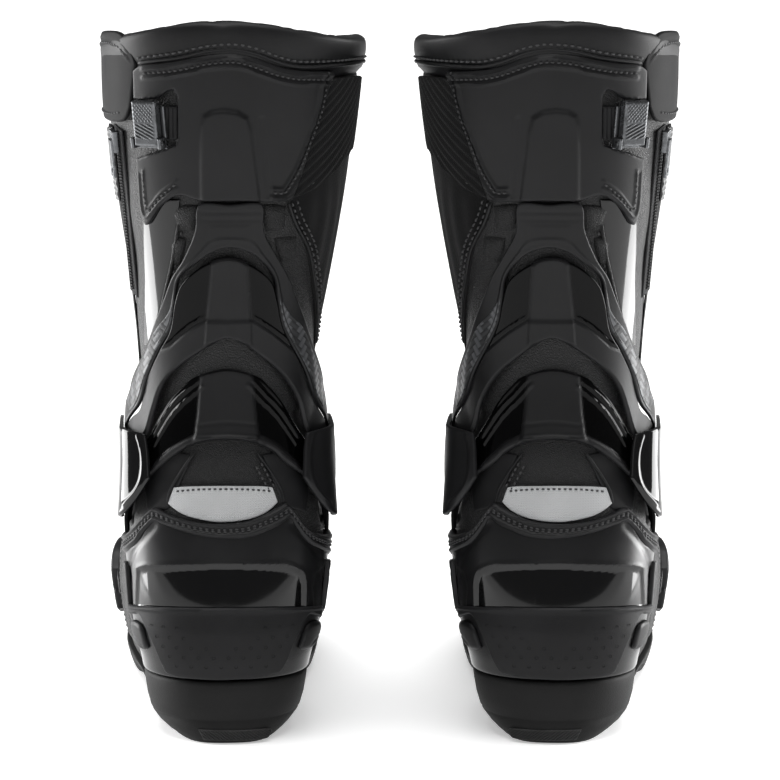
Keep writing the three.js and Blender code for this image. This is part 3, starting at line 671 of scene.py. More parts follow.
class Finish:
    """A material made in node code. The shader's uniform values are set on its own sockets."""

    def __init__(self, name, **uniform):
        self.material = bpy.data.materials.new(name)
        self.material.use_nodes = True
        self.nodes, self.links = self.material.node_tree.nodes, self.material.node_tree.links
        self.shader = self.nodes["Principled BSDF"]
        for socket, value in uniform.items():
            self.join(value, self.shader.inputs[socket.replace("_", " ")])

    def join(self, value, socket):
        if isinstance(value, Value):
            self.links.new(value.socket, socket)
        else:
            socket.default_value = value

    def add(self, kind, sockets=None, **settings):
        """Any node; its first output that is in use comes back."""
        node = self.nodes.new(f"ShaderNode{kind}")
        for key, value in settings.items():
            setattr(node, key, value)
        for key, value in (sockets or {}).items():
            self.join(value, node.inputs[key])
        return Value(self, next(o for o in node.outputs if o.enabled))

    def sum(self, operation, *values):
        return self.add("Math", dict(enumerate(values)), operation=operation)

    def blend(self, factor, a, b):
        mixed = self.add("Mix", {0: factor, 6: a, 7: b}, data_type="RGBA")
        return Value(self, mixed.socket.node.outputs[2])

    def tones(self, factor, colour, dark, light):
        """From a darker to a lighter shade of one colour."""
        return self.blend(factor, shade(colour, dark), shade(colour, light))

    @property
    def place(self):
        return self.add("TexCoord").of("Object")

    @property
    def skin_place(self):
        return self.add("UVMap", uv_map="skin")

    def painted(self, name):
        return self.add("Attribute", attribute_name=name).of("Fac")

    def noise(self, scale, detail=3.0, roughness=0.55, place=None):
        sockets = {"Vector": place or self.place, "Scale": scale, "Detail": detail, "Roughness": roughness}
        return self.add("TexNoise", sockets)

    def cells(self, scale, feature="F1"):
        return self.add("TexVoronoi", {"Vector": self.place, "Scale": scale},
                        feature=feature).of("Distance")

    def waves(self, scale, axis):
        sockets = {"Vector": self.skin_place, "Scale": scale, "Distortion": 0.0, "Detail": 0.0}
        return self.add("TexWave", sockets, wave_type="BANDS", bands_direction=axis).of("Fac")

    def step(self, value, low, high):
        sockets = {"Value": value, "From Min": low, "From Max": high}
        return self.add("MapRange", sockets, interpolation_type="SMOOTHSTEP")

    def finish(self, colour, roughness, height=None, depth=0.0, metallic=0.0, coat=None):
        """Joins the varying values to the shader; height and depth in metres make its bumps."""
        values = {"Base Color": colour, "Roughness": roughness, "Metallic": metallic}
        if height is not None:
            values["Normal"] = self.add("Bump", {"Height": height, "Distance": depth, "Strength": 1.0})
        if coat is not None:
            values["Coat Weight"] = coat
        for name, value in values.items():
            self.join(value, self.shader.inputs[name])
        return self.material


def shade(colour, factor=1.0):
    return (*[min(1.0, c * factor) for c in colour[:3]], 1.0)


def leather_finish(name, colour, pebble=850, depth=0.00025, rough=0.5):
    """Black leather with a pebbled grain, fine creases and paler, rougher high spots."""
    f = Finish(name, Specular_IOR_Level=0.3, Sheen_Weight=0.04, Sheen_Roughness=0.5)
    grain = f.step(f.cells(pebble, "DISTANCE_TO_EDGE"), 0.0, 0.32)
    fine = f.noise(pebble * 3, 2)
    broad = f.noise(70, 3)
    crease = f.step(f.cells(130, "DISTANCE_TO_EDGE"), 0.0, 0.05)
    high = grain * 0.6 + fine * 0.25 + crease * 0.35
    worn = f.painted("worn") * f.step(broad, 0.4, 0.7)
    colours = f.tones(f.step(grain * 0.6 + broad * 0.7, 0.35, 1.0), colour, 0.55, 1.35)
    colours = f.blend(worn * 0.6, colours, shade(colour, 2.4))
    return f.finish(colours, rough + 0.14 * broad - 0.1 * grain, high, depth)


def smooth_skin_finish(name, colour, rough=0.42, specular=0.22):
    """Smooth coated leather of the collar and flaps."""
    f = Finish(name, Specular_IOR_Level=specular)
    broad, fine = f.noise(45, 4), f.noise(1600, 2)
    pores = f.step(f.cells(1500), 0.0, 0.35)
    colours = f.tones(f.step(broad, 0.3, 0.75), colour, 0.7, 1.25)
    colours = f.blend(f.painted("rim") * 0.35, colours, shade(colour, 2.2))
    return f.finish(colours, rough + 0.16 * broad, pores * 0.4 + fine * 0.3, 0.00008)


def moulded_finish(name, colour, rough=0.4, texture=0.00005):
    """Satin moulded plastic with rubbed rims; where gloss is painted it is deep polished black."""
    f = Finish(name, Specular_IOR_Level=0.21)
    broad, flow = f.noise(28, 4), f.noise(9, 2)
    rubbed = f.painted("rim") * f.step(f.noise(120, 4), 0.3, 0.62)
    colours = f.tones(f.step(broad, 0.3, 0.75), colour, 0.75, 1.2)
    colours = f.blend(rubbed * 0.5, colours, shade(colour, 2.6))
    # Glossy black shader for the painted gloss fields: a real glossy finish, with its base colour cut to a
    # fifth of the satin's as painted shade for the recessed flanks.
    deep_gloss_and_painted_shade = f.add("BsdfPrincipled", {
        "Base Color": shade(colour, 0.2), "Roughness": 0.08, "Specular IOR Level": 0.11})
    satin = Value(f, f.shader.outputs[0])
    both = f.add("MixShader", {0: f.painted("gloss"), 1: satin, 2: deep_gloss_and_painted_shade})
    f.join(both, f.nodes["Material Output"].inputs["Surface"])
    roughness = rough + 0.1 * broad + 0.06 * flow - 0.12 * rubbed
    return f.finish(colours, roughness, f.noise(2600, 2), texture)


def gloss_finish(name, colour):
    """Polished plastic under lacquer, with dust haze and hairline scratches."""
    f = Finish(name, Specular_IOR_Level=0.28, Coat_Roughness=0.03, Coat_IOR=1.45)
    haze = f.step(f.noise(60, 5), 0.45, 0.8)
    stretched = f.add("VectorMath", {0: f.place, 1: (1.0, 1.0, 0.06)}, operation="MULTIPLY")
    scratch = f.step(f.noise(900, 2, place=stretched), 0.66, 0.74)
    rubbed, satin = f.painted("rim"), f.painted("satin")
    colours = f.tones(rubbed * 0.25 + satin * 0.6, colour, 1.0, 3.0)
    polish = 0.07 + 0.05 * haze + 0.07 * scratch + 0.1 * rubbed
    roughness = polish * (1 - satin) + satin * (0.3 + 0.08 * haze)
    grain = f.noise(2600, 2) * satin + f.noise(35, 2) * 0.2
    return f.finish(colours, roughness, grain, 0.00004, coat=0.15 - 0.15 * satin)


def rubber_finish(name, colour, rough=0.6):
    """Sole rubber with a fine matt skin, scuffs and dust near its rims."""
    f = Finish(name, Specular_IOR_Level=0.2)
    broad = f.noise(30, 5)
    scuff = f.step(f.noise(240, 5, 0.7), 0.55, 0.72) * f.painted("rim")
    colours = f.tones(f.step(broad, 0.3, 0.7), colour, 0.7, 1.25)
    colours = f.blend(scuff * 0.6, colours, shade(colour, 2.8))
    return f.finish(colours, rough + 0.2 * broad - 0.06, f.noise(1400, 3), 0.00012)


def suede_finish(name, colour):
    """Brushed suede: a soft nap in patches that lean different ways."""
    f = Finish(name, Specular_IOR_Level=0.1, Sheen_Weight=0.05, Sheen_Roughness=0.6)
    nap, patch = f.noise(900, 5, 0.75), f.noise(38, 4)
    colours = f.tones(f.step(patch * 0.6 + nap * 0.4, 0.35, 0.65), colour, 0.5, 1.5)
    return f.finish(colours, 0.92 + 0.08 * nap, nap, 0.0003)


def weave(f, pitch):
    """Over and under threads of a plain weave, from the skin's own coordinates."""
    scale = 1 / pitch / 20 * 2 * math.pi
    across, upward = f.waves(scale, "X"), f.waves(scale, "Y")
    return f.sum("MAXIMUM", across * (1 - 0.5 * upward), upward * (1 - 0.5 * across))


def fabric_finish(name, colour, pitch=0.0011, depth=0.0002):
    """Woven nylon: threads over and under, with fuzz and uneven dye."""
    f = Finish(name, Specular_IOR_Level=0.2, Sheen_Weight=0.06, Sheen_Roughness=0.5)
    threads, fuzz = weave(f, pitch), f.noise(1500, 3)
    colours = f.tones(f.step(threads * 0.6 + f.noise(60, 3) * 0.5, 0.25, 0.9), colour, 0.45, 1.4)
    return f.finish(colours, 0.9 + 0.08 * fuzz, threads + fuzz * 0.3, depth)


def carbon_finish(name, colour, tow=0.0026):
    """Twill weave of carbon tows under clear resin."""
    f = Finish(name, Specular_IOR_Level=0.25, Coat_Roughness=0.2, Coat_Weight=0.06)
    turned = f.add("Mapping", {"Vector": f.skin_place, "Rotation": (0, 0, math.radians(38))})
    apart = f.add("SeparateXYZ", {"Vector": turned})
    a, b = apart.of("X") / tow, apart.of("Y") / tow
    cell_a, cell_b = f.sum("FLOOR", a), f.sum("FLOOR", b)
    over = f.step(f.sum("FLOORED_MODULO", cell_a + cell_b, 4.0), 1.4, 1.6)
    along_a = f.sum("SINE", (a - cell_a) * math.pi)
    along_b = f.sum("SINE", (b - cell_b) * math.pi)
    fibres = f.noise(2600, 2)
    height = over * along_a + (1 - over) * along_b
    tone = over * (0.4 + 0.6 * along_a) + (1 - over) * 0.28 * along_b
    colours = f.tones(tone * (0.75 + 0.4 * fibres), colour, 0.18, 2.2)
    return f.finish(colours, 0.5 - 0.12 * over, height + fibres * 0.1, 0.00012)


def reflective_finish(name, colour):
    """Silver retroreflective cloth: fine glass beads over a woven backing."""
    f = Finish(name, Specular_IOR_Level=0.4)
    beads = f.step(f.cells(2600), 0.0, 0.5)
    threads, patch = weave(f, 0.0012), f.noise(55, 4)
    tone = beads * 0.35 + threads * 0.3 + patch * 0.5
    colours = f.tones(f.step(tone, 0.25, 0.95), colour, 0.72, 1.12)
    return f.finish(colours, 0.5 + 0.15 * patch, threads + beads * 0.4, 0.00012)


def metal_finish(name, colour):
    """Blasted and lacquered metal with bright worn rims."""
    f = Finish(name)
    broad = f.noise(80, 4)
    worn = f.painted("rim") * f.step(f.noise(260, 4), 0.3, 0.6)
    colours = f.tones(f.step(broad, 0.3, 0.7), colour, 0.8, 1.15)
    colours = f.blend(worn * 0.8, colours, shade(colour, 2.3))
    roughness = 0.3 + 0.1 * broad - 0.08 * worn
    return f.finish(colours, roughness, f.noise(2400, 3), 0.00004, metallic=0.9)


def thread_finish(name, colour):
    """Bonded nylon thread with its twist."""
    f = Finish(name, Specular_IOR_Level=0.35)
    twist = f.noise(2200, 2)
    return f.finish(f.tones(twist, colour, 0.6, 1.5), 0.5 + 0.2 * twist, twist, 0.0001)


def floor_finish(name, colour):
    """Matt studio paper."""
    f = Finish(name, Specular_IOR_Level=0.15, Emission_Color=shade(colour), Emission_Strength=0.45)
    return f.finish(f.tones(f.noise(300, 3), colour, 0.985, 1.0), 0.9)


FINISHES = {}
SLOTS = {
    "leather": "leather", "soft_leather": "leather", "collar": "leather", "flap": "leather",
    "suede": "leather", "fabric": "leather", "satin": "satin_plastic", "gloss": "gloss_plastic",
    "pad": "satin_rubber", "rubber": "rubber", "plug": "rubber", "lining": "lining",
    "carbon": "carbon_weave", "reflective": "reflective_fabric", "metal": "gunmetal",
}


def make_finishes(c):
    FINISHES.update(
        leather=leather_finish("grained_leather", c.leather),
        soft_leather=leather_finish("soft_leather", shade(c.leather, 0.9), 1100, 0.0003, 0.55),
        collar=smooth_skin_finish("collar_leather", c.satin),
        # The flap finish is the collar leather made darker and less shiny: painted shade on the panels that
        # face the side lamp.
        flap=smooth_skin_finish("flap_leather_shaded", shade(c.satin, 0.6), 0.5, 0.08),
        satin=moulded_finish("satin_plastic", c.satin),
        pad=moulded_finish("soft_pad", shade(c.satin, 1.2), rough=0.52, texture=0.00009),
        gloss=gloss_finish("gloss_plastic", c.gloss),
        rubber=rubber_finish("sole_rubber", c.rubber),
        suede=suede_finish("suede", shade(c.leather, 0.5)),
        fabric=fabric_finish("ribbed_nylon", shade(c.leather, 0.5)),
        plug=moulded_finish("plug_rubber", shade(c.rubber, 4), rough=0.6, texture=0.00009),
        lining=fabric_finish("lining_mesh", shade(c.lining), pitch=0.0018, depth=0.0004),
        carbon=carbon_finish("carbon_weave", c.carbon),
        reflective=reflective_finish("reflective_cloth", c.reflective),
        metal=metal_finish("gunmetal", c.metal),
        thread=thread_finish("thread", c.thread),
        # The perforations' dark colour is painted shade inside the holes.
        hollow=rubber_finish("perforation", shade(c.rubber, 0.2), rough=0.9),
    )


# --------------------------------------------------------------------- pieces on both boots


SHARP_FROM = math.radians(48)


def mesh_of(name, shape, sign):
    points = to_frame(shape.points)
    points[:, 0] *= sign
    faces = shape.faces if sign > 0 else [tuple(reversed(f)) for f in shape.faces]
    mesh = bpy.data.meshes.new(name)
    mesh.from_pydata(points.tolist(), [], faces)
    layer = mesh.uv_layers.new(name="skin")
    corner = np.zeros(len(mesh.loops), np.int32)
    mesh.loops.foreach_get("vertex_index", corner)
    layer.data.foreach_set("uv", (shape.flat[corner] * MM).astype(np.float32).ravel())
    for key, values in shape.paint.items():
        attribute = mesh.attributes.new(key, "FLOAT", "POINT")
        attribute.data.foreach_set("value", values.astype(np.float32))
    mesh.polygons.foreach_set("use_smooth", np.ones(len(mesh.polygons), bool))
    mesh.set_sharp_from_angle(angle=SHARP_FROM)
    mesh.update()
    return mesh


def boots(name, shape, finish, body, stands_for="", slot="", blend_over=None):
    """Makes the piece on the left boot and its mirror image on the right boot."""
    slot = SLOTS.get(finish) if slot == "" else slot
    for side, sign in SIDES:
        piece = bpy.data.objects.new(f"{name}_{side}", mesh_of(f"{name}_{side}", shape, sign))
        bpy.context.scene.collection.objects.link(piece)
        piece.data.materials.append(FINISHES[finish])
        rides = body if body == "feet" else f"{body}_{side}"
        if blend_over:
            start, end = (to_frame(p) * [sign, 1, 1] for p in blend_over)
            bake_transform(piece)
        else:
            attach(piece, rides)
        if stands_for:
            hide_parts(f"{stands_for}_{side}")


def sew(name, body, lines, d, **how):
    """Rows of stitches on both boots."""
    boots(name, together(stitches(line, d, **how) for line in lines), "thread", body)


# -------------------------------------------------------------------------------- the foot


def length_at(share, z):
    """How far forward a point lies that is this share of the way round at height z."""
    z = z + 0 * share
    s = share * half_girth(z.ravel(), share.ravel() >= 0).reshape(share.shape)
    return skin(turn_at(s, z), z)[..., 1]


def sole_top(y):
    return mix(30, 12, smooth(70, 95, y))


def sole_under(y):
    return 8 * smooth(76, 92, y) * (1 - smooth(128, 156, y)) + 8 * smooth(225, 296, y)


def upper_top(y):
    return mix(120, 97, smooth(26, 40, y)) + 11 * smooth(100, 130, y)


def sole():
    share = lambda u: -1 + 2 * u
    overhang = 3.0

    def side(u, row):
        part, outset = row
        y = length_at(share(u), 12.0)
        z = mix(sole_under(y), sole_top(y), part)
        s = share(u) * half_girth(z, share(u) >= 0)
        tuck = 12 * (1 - part) ** 4.4 * smooth(8, 44, np.abs(s)) * mix(0.25, 1, smooth(14, 30, sole_top(y)))
        points = from_back(s, z, overhang + outset - tuck)
        points[:, 2] = z
        return points

    rows = [(0, -2.6), (0.02, -1.7), (0.06, -0.8), (0.13, -0.15), (0.2, 0), (0.34, 0), (0.36, -0.35),
            (0.39, -0.35), (0.41, 0), (0.6, 0), (0.8, 0), (0.93, -0.1), (0.975, -0.5), (1, -1.3)]
    columns = 200
    shape = stacked(columns, rows, side, lid_rows=26)
    lid = (np.arange(len(shape.points)) >= columns * len(rows)) & (shape.points[:, 2] < 11)
    x, y = shape.points[:, :2].T
    bars = np.abs(np.mod(y / 9 + np.abs(x) / 26, 1) - 0.5)
    deep = 1.6 * (1 - smooth(0.1, 0.2, bars)) * (1 - smooth(72, 80, y) * (1 - smooth(150, 158, y)))
    shape.points[lid, 2] += deep[lid]
    shape.paint["rim"] = np.zeros(len(shape.points))
    shape.paint["rim"][: columns * len(rows)] = np.repeat([min(1.0, -outset) for _, outset in rows],
        columns)
    boots("sole_unit", shape, "rubber", "feet", "outsole")

    plug_ribs = [[-13, 7.4, -10.7, 2.5], [2, 7.2, 2, 2.1], [17.4, 6.8, 15.5, 2.1], [19, 5, 18, 3.4]]
    tooth = lambda s, z: 0.28 * np.sin((s + z * 1.2) * 2 * math.pi / 1.7)
    plug = panel(plug_ribs, 0.9, base=2.8, step=0.4, rim=0.3, relief=tooth)
    boots("heel_plug_insert", plug, "plug", "feet", "heel_plug")

    def bed(u, row):
        part, outset = row
        y = length_at(share(u), 12.0)
        z = sole_top(y) + 0.4 + 4 * part
        s = share(u) * half_girth(z, share(u) >= 0)
        points = from_back(s, z, -4.4 + outset + 0 * z)
        points[:, 2] = z
        return points

    insole = stacked(120, [(0, -0.6), (0.2, 0), (0.8, 0), (1, -0.8)], bed, lid_rows=10)
    boots("footbed", insole, "lining", "feet", "insole")


def foot_upper():
    bottom = lambda share: sole_top(length_at(share, 12.0)) + 0.4
    top = lambda share: upper_top(length_at(share, 97.0))
    creases = total(
        lambda s, z: 0.5 * np.sin(z * 2 * math.pi / 9 + np.sin(s / 17) * 1.3)
        * smooth(120, 165, np.abs(s)) * smooth(62, 80, z),
        lambda s, z: 0.8 * smooth(88, 104, z) * (1 - smooth(40, 60, np.abs(s))),
    )
    shape = ring(wall(bottom, top, lambda share: 0, 3.5, 60), 230, creases,
                 paint={"worn": lambda s, z: smooth(90, 130, np.abs(s)) * (1 - smooth(30, 60, z))})
    boots("foot_leather", shape, "leather", "feet", "foot_upper")

    cap_edge = [(-104, 14), (-92, 34), (-62, 58), (-30, 69), (0, 72), (30, 69), (62, 58), (92, 34),
                (104, 14)]
    toe = panel([[s, z, s * 0.985, 13.2] for s, z in cap_edge], 1.1, base=0.05, step=2.2, rim=1.0,
                place=from_front)
    boots("toe_cap", toe, "collar", "feet")
    seams = [beside(cap_edge, off) for off in (-2.2, -4.6)]
    sew("toe_cap_stitching", "feet", seams, 1.18, place=from_front, smoothed=False)

    front_line = [(168, 96), (178, 72), (190, 44), (196, 16)]
    back_line = [(84, 93), (92, 70), (96, 44), (98, 24)]
    for sign, word in WORDS:
        lines = [[(sign * a, z) for a, z in line] for line in (front_line, back_line)]
        ribs = [[*high, *low] for high, low in zip(*lines[::sign])]
        arches = total(*[
            ridge([(sign * (100 + 16 * k), 88), (sign * (108 + 17 * k), 58), (sign * (110 + 18 * k), 22)],
                  0.5, 2.0) for k in range(5)])
        side_panel = panel(ribs, 1.0, base=0.05, step=1.6, rim=0.9, relief=arches)
        boots(f"side_panel_{word}", side_panel, "soft_leather", "feet")
        seams = [beside(line, sign * off) for line, off in zip(lines, (-2.2, 2.2))]
        sew(f"side_panel_{word}_stitching", "feet", seams, 0.8, smoothed=False)
        vents = []
        for k in range(3):
            high, low = (sign * (205 + 13 * k), sign * (196 + 13 * k))[::sign]
            slit = [[high, 44, low, 45], [high + sign, 36, low + sign, 37]]
            vents.append(panel(slit, 1.3, base=0.3, step=1.0, rim=0.7, smoothed=False))
        boots(f"toe_vents_{word}", together(vents), "satin", "feet", slot=None)

    grip = total(*[ridge([(-40, z), (40, z)], 0.7, 1.3) for z in (66, 71, 76, 81, 86)])
    pad = panel([[s, 90, s, 62] for s in (-32, -16, 0, 16, 32)], 1.6, base=0.9, step=1.0, rim=0.9,
                relief=grip, place=from_front)
    boots("shift_grip", pad, "pad", "feet", "shift_pad")
    sew("shift_grip_stitching", "feet", [[(-30, 64), (30, 64)]], 2.4, place=from_front)
    toe_slider()


def toe_slider():
    a, z = 90, 36
    ribs = [[a - 28, z + 10, a - 28, z - 12], [a - 15, z + 17, a - 15, z - 17],
            [a, z + 19, a, z - 18], [a + 16, z + 16, a + 16, z - 16], [a + 30, z + 9, a + 30, z - 12]]
    bars = total(*[ridge([(a + k, z + 12), (a + k + 3, z - 12)], -0.6, 1.0) for k in (-20, -13, 13, 20)])
    dish = lambda s, w: -2.2 * (1 - smooth(4.4, 5.6, np.hypot(s - a, w - z)))
    block = panel(ribs, 4, base=1, step=0.9, rim=1.4, relief=total(bars, dish), place=from_front)
    boots("toe_slider_block", block, "satin", "feet", "toe_slider")
    head = [(4.0, 2.0), (3.9, 4.5), (3.4, 4.9), (1.6, 4.9), (1.5, 4.35), (1.3, 4.1), (0.2, 4.1)]
    screw = flat_at(a, z, from_front).turned(head, sides=32)
    boots("toe_slider_fixing", screw, "metal", "feet", "toe_slider_screw")


TRIM = [
    [-90, 88, -90, 79], [-76, 90.5, -76, 81.5], [-64, 91.5, -64, 83], [-54, 94, -54, 86], [-44.5, 99,
        -45.5, 90.5],
    [-38.5, 104.5, -40, 96], [-33.7, 107.6, -34.2, 101], [-29, 106.2, -28.5, 100.3],
    [-23.8, 104.4, -22, 98.6], [-14.5, 102.4, -14, 96.7], [-3.2, 101.7, -3.2, 95.2],
    [9, 102.7, 9, 95.4], [18.2, 106, 19, 98.3], [23, 108.2, 24, 100.2], [27.4, 109.4, 28.8, 102.6],
    [32, 104.4, 31.6, 98.8], [36.5, 98.8, 35.7, 93.7], [41.8, 95.4, 41, 89.6], [54, 92, 54, 84.5],
    [64, 91.5, 68, 80.5], [78, 90.5, 80, 79.5], [90, 88, 92, 78],
]


def trim_line(part):
    return [(mix(c, a, part), mix(d, b, part)) for a, b, c, d in TRIM]


def heel():
    counter_ribs = [
        [-90, 82, -90, 31], [-76, 84, -76, 31], [-56, 87, -56, 31], [-44, 92, -44, 31], [-34, 103, -34, 31],
        [-26, 101.5, -26, 31], [-12, 98, -12, 31], [0, 97, 0, 31], [12, 98, 12, 31],
        [21, 100.5, 21, 31], [29, 104.5, 29, 31], [37, 97, 37, 31], [46, 90.5, 46, 31],
        [57, 86, 57, 31], [75, 83, 75, 31], [90, 80, 90, 31],
    ]
    window = [(-46.3, 79), (-38.9, 81), (-20, 83), (-3.4, 84), (12, 83.4), (26.6, 82), (35.6, 78),
              (37.4, 73), (37.6, 60), (-50, 60)]
    wing_l = [(-88, 74), (-60, 80), (-52, 76), (-53, 62), (-57, 56), (-88, 50)]
    wing_r = [(88, 72), (60, 79), (44, 77), (41.5, 70), (44, 60), (52, 54), (88, 48)]
    relief = total(
        field(window, -0.9, 1.6), ridge(window[:-1], 0.3, 1.6), field(wing_l, -0.6, 1.5), field(wing_r,
            -0.6, 1.5),
        ridge([(-34, 99), (-52, 82), (-64, 62)], -0.5, 3), ridge([(30, 100), (46, 84), (62, 64)], -0.5, 3))
    satin = lambda s, z: 1 - np.maximum(area(window, 0.4)(s, z), 1 - smooth(36, 42, z))
    counter = panel(counter_ribs, 2, base=1, step=1.2, rim=0.9, relief=relief, paint={"satin": satin})
    boots("heel_shell", counter, "gloss", "feet", "heel_counter")

    pad_ribs = [[-59, 60.4, -59, 56], [-50, 61.4, -50, 57.4], [-43, 62.4, -43, 58.2],
                [-38, 63, -35.6, 49.5],
                [-31, 63.6, -30, 38], [-27, 64, -26.8, 33], [-12, 64.6, -12, 31.6], [4, 64.6, 4, 31.6],
                [20, 64, 20, 33], [24, 63.6, 24.5, 36], [30, 63, 30.5, 49], [36, 62.4, 37.3, 58], [44,
                    61.4, 44, 57],
                [51, 60.4, 51, 54.6]]
    bulge = lambda s, z: 1.1 * smooth(70, 30, np.abs(s + 3)) * smooth(30, 42, z) * (1 - smooth(52, 62, z))
    lip = ridge([(-60, 59.6), (-30, 62.4), (-4, 63.4), (22, 62.6), (52, 59.6)], 0.45, 1.4)
    pad = panel(pad_ribs, 1.5, base=3.3, step=1.0, rim=1.0, relief=total(bulge, lip))
    boots("heel_grip_pad", pad, "pad", "feet", "heel_pad")
    outline = [(-56, 57.5), (-43, 59.4), (-36, 52), (-29, 38), (-24, 34.5), (18, 34.5), (25, 40),
               (30, 50), (37, 59), (49, 57), (49, 60), (-56, 60)]
    dots = []
    for row in range(6):
        z = 38 + 4.3 * row
        for k in range(-9, 10):
            s = -3 + 6.2 * k + 3.1 * (row % 2)
            bare = row < 5 and abs(s + 3) < 6 * (row - 1.4)
            if inside(outline, s, z) > 1.2 and not bare:
                dots.append(hole_dot(s, z, 4.86 + bulge(s, z), 0.72))
    # The dots' dark finish is painted shade in the pad's perforations.
    boots("heel_grip_perforations", together(dots), "hollow", "feet")

    capsules = {}
    capsules["outer"] = [[-58, 51, -57, 45], [-55, 53.4, -53.5, 43], [-49, 54.6, -47, 42],
                         [-44, 54, -41, 42.4], [-41.6, 52, -38.8, 44]]
    capsules["inner"] = [[36.4, 51.5, 33, 44], [39.5, 54, 35.5, 42.4], [45, 54.4, 42, 42],
                         [51, 53, 49, 43], [54, 50.6, 52.6, 45]]
    for sign, word in WORDS:
        line = ridge([(sign * 55, 47), (sign * 44, 45), (sign * 38, 40)], -0.4, 1.0)
        block = panel(capsules[word], 1.9, base=3.1, step=0.9, rim=1.6, relief=line)
        boots(f"heel_side_{word}", block, "satin", "feet", f"heel_insert_{word}")
    brackets = []
    for sign in (-1, 1):
        low = [(58, 57), (66, 54), (80, 47), (96, 40), (110, 36)]
        high = [(58, 80), (66, 79), (80, 75), (96, 66), (110, 58)]
        ribs = [[sign * a, z, sign * b, w] for (a, z), (b, w) in zip(high, low)][::sign]
        grooves = total(*[ridge([(sign * 60, 75 - k), (sign * 84, 68 - k), (sign * 108, 54 - k)], -0.5, 1.0)
                          for k in (0, 9)])
        brackets.append(panel(ribs, 2.2, base=2.6, step=1.1, rim=1.1, relief=grooves))
    boots("heel_brackets", together(brackets), "satin", "feet")

    trim = panel(TRIM, 2.6, base=1.1, step=0.8, rim=1.0, relief=total(
        ridge(trim_line(0.82), 0.75, 1.25, False), ridge(trim_line(0.2), 0.75, 1.25, False)))
    boots("counter_trim", trim, "satin", "feet")
    sew("counter_trim_stitching", "feet", [trim_line(part) for part in (0.58, 0.44)], 3.72, pitch=2.6)

    patch_ribs = [[-24.5, 117.3, -27.5, 110], [-20, 118, -22, 106.6], [-13, 118.5, -15, 104.3],
                  [-3, 118.8, -3, 102.6],
                  [9, 118.5, 9.5, 103.6], [17, 118, 18, 106.3], [21, 117.2, 23.5, 110.5]]
    patch = panel(patch_ribs, 0.7, base=1.1, step=0.8, rim=0.5)
    boots("reflective_tab", patch, "reflective", "feet", "reflective_patch")
    seam = [(-23.5, 115.6), (-13, 117), (-3, 117.3), (9, 117), (20.4, 115.6)]
    sew("reflective_tab_stitching", "feet", [seam], 1.82, pitch=2.4)
    edge = spline([(-14.5, 133.5), (-16.4, 130.7), (-21.8, 123), (-26.2, 115.6), (-27.6, 109.8)])
    boots("achilles_piping", together([
        bead(edge, 0.8, 1.5), bead(edge * [-1, 1] + [-0.5, 0], 0.7, 1.2)]), "collar", "feet")
    wing_l = [[-44, 120, -40, 105], [-36, 128, -34, 106], [-27, 134, -29, 107], [-15.5, 132, -26.8, 108.5]]
    wing_r = [[16.5, 132, 26.4, 108.5], [28, 133, 30, 107], [36, 126, 34, 106], [44, 119, 40, 104]]
    boots("achilles_wings", together([
        panel(ribs, 1.1, base=0.2, step=1.3, rim=0.7) for ribs in (wing_l, wing_r)]), "collar", "feet")
    slant = [(17, 130), (21, 122.5), (23.6, 118)]
    seams = [beside(slant, off) for off in (-1.8, -4.6)]
    sew("achilles_stitching", "feet", seams, 1.35, pitch=2.6, smoothed=False)


def hole_dot(s, z, d, radius):
    """A small dark dimple."""
    sides = 10
    cos, sin = circle(sides)
    rim = from_back(s + radius * cos, z + radius * sin, d + 0.03)
    floor = spot(from_back, s, z, d - 0.6)
    return Shape(np.vstack([rim, floor]), [(k, (k + 1) % sides, sides) for k in range(sides)])


# ------------------------------------------------------------------------------- the brace

PITCH = 1.8
LOWER_PLANES, MIDDLE_PLANES, YOKE_PLANES = ((-1 + PITCH * k, 0.3 + PITCH * k) for k in range(3))
CAP_PLANES = (4.4, 6.4)


def pivot_x(sign):
    """How far out the skin lies at the ankle's pivot."""
    points = from_back(sign * np.linspace(40, 110, 141), PIVOT[2], 0)
    return float(np.interp(PIVOT[1], points[:, 1], points[:, 0]))


PIVOT_X = {sign: pivot_x(sign) for sign in (-1, 1)}


def brace(planes, thick, base=0, near=20, far=40, behind=False):
    """Lies on the skin, and turns into its own flat plane near the pivot."""

    def place(s, z, d):
        lift = base(s, z) if callable(base) else base
        point = from_back(s, z, lift + d)
        y, h = point[..., 1] - PIVOT[1], point[..., 2] - PIVOT[2]
        away = np.maximum(0, -y) if behind else np.hypot(y, h)
        flat = 1 - smooth(near, far, away)
        offset = planes[0] + d * (planes[1] - planes[0]) / thick
        plane = np.where(s >= 0, PIVOT_X[1] + offset, PIVOT_X[-1] - offset)
        point[..., 0] = mix(point[..., 0], plane, flat)
        return point

    return place


def pivot_frame(sign):
    return Flat(np.array([PIVOT_X[sign], *PIVOT[1:]]), *np.array([[0, sign, 0], [0, 0, 1], [sign, 0, 0]],
        float))


def eyes(planes):
    """The rings of a brace part round both ankle pivots."""
    low, high = planes
    profile = [(5.3, low), (13.2, low), (14, low + 0.4), (14, high - 0.3), (13.5, high), (5.3, high)]
    return [pivot_frame(sign).turned(profile) for sign in (-1, 1)]


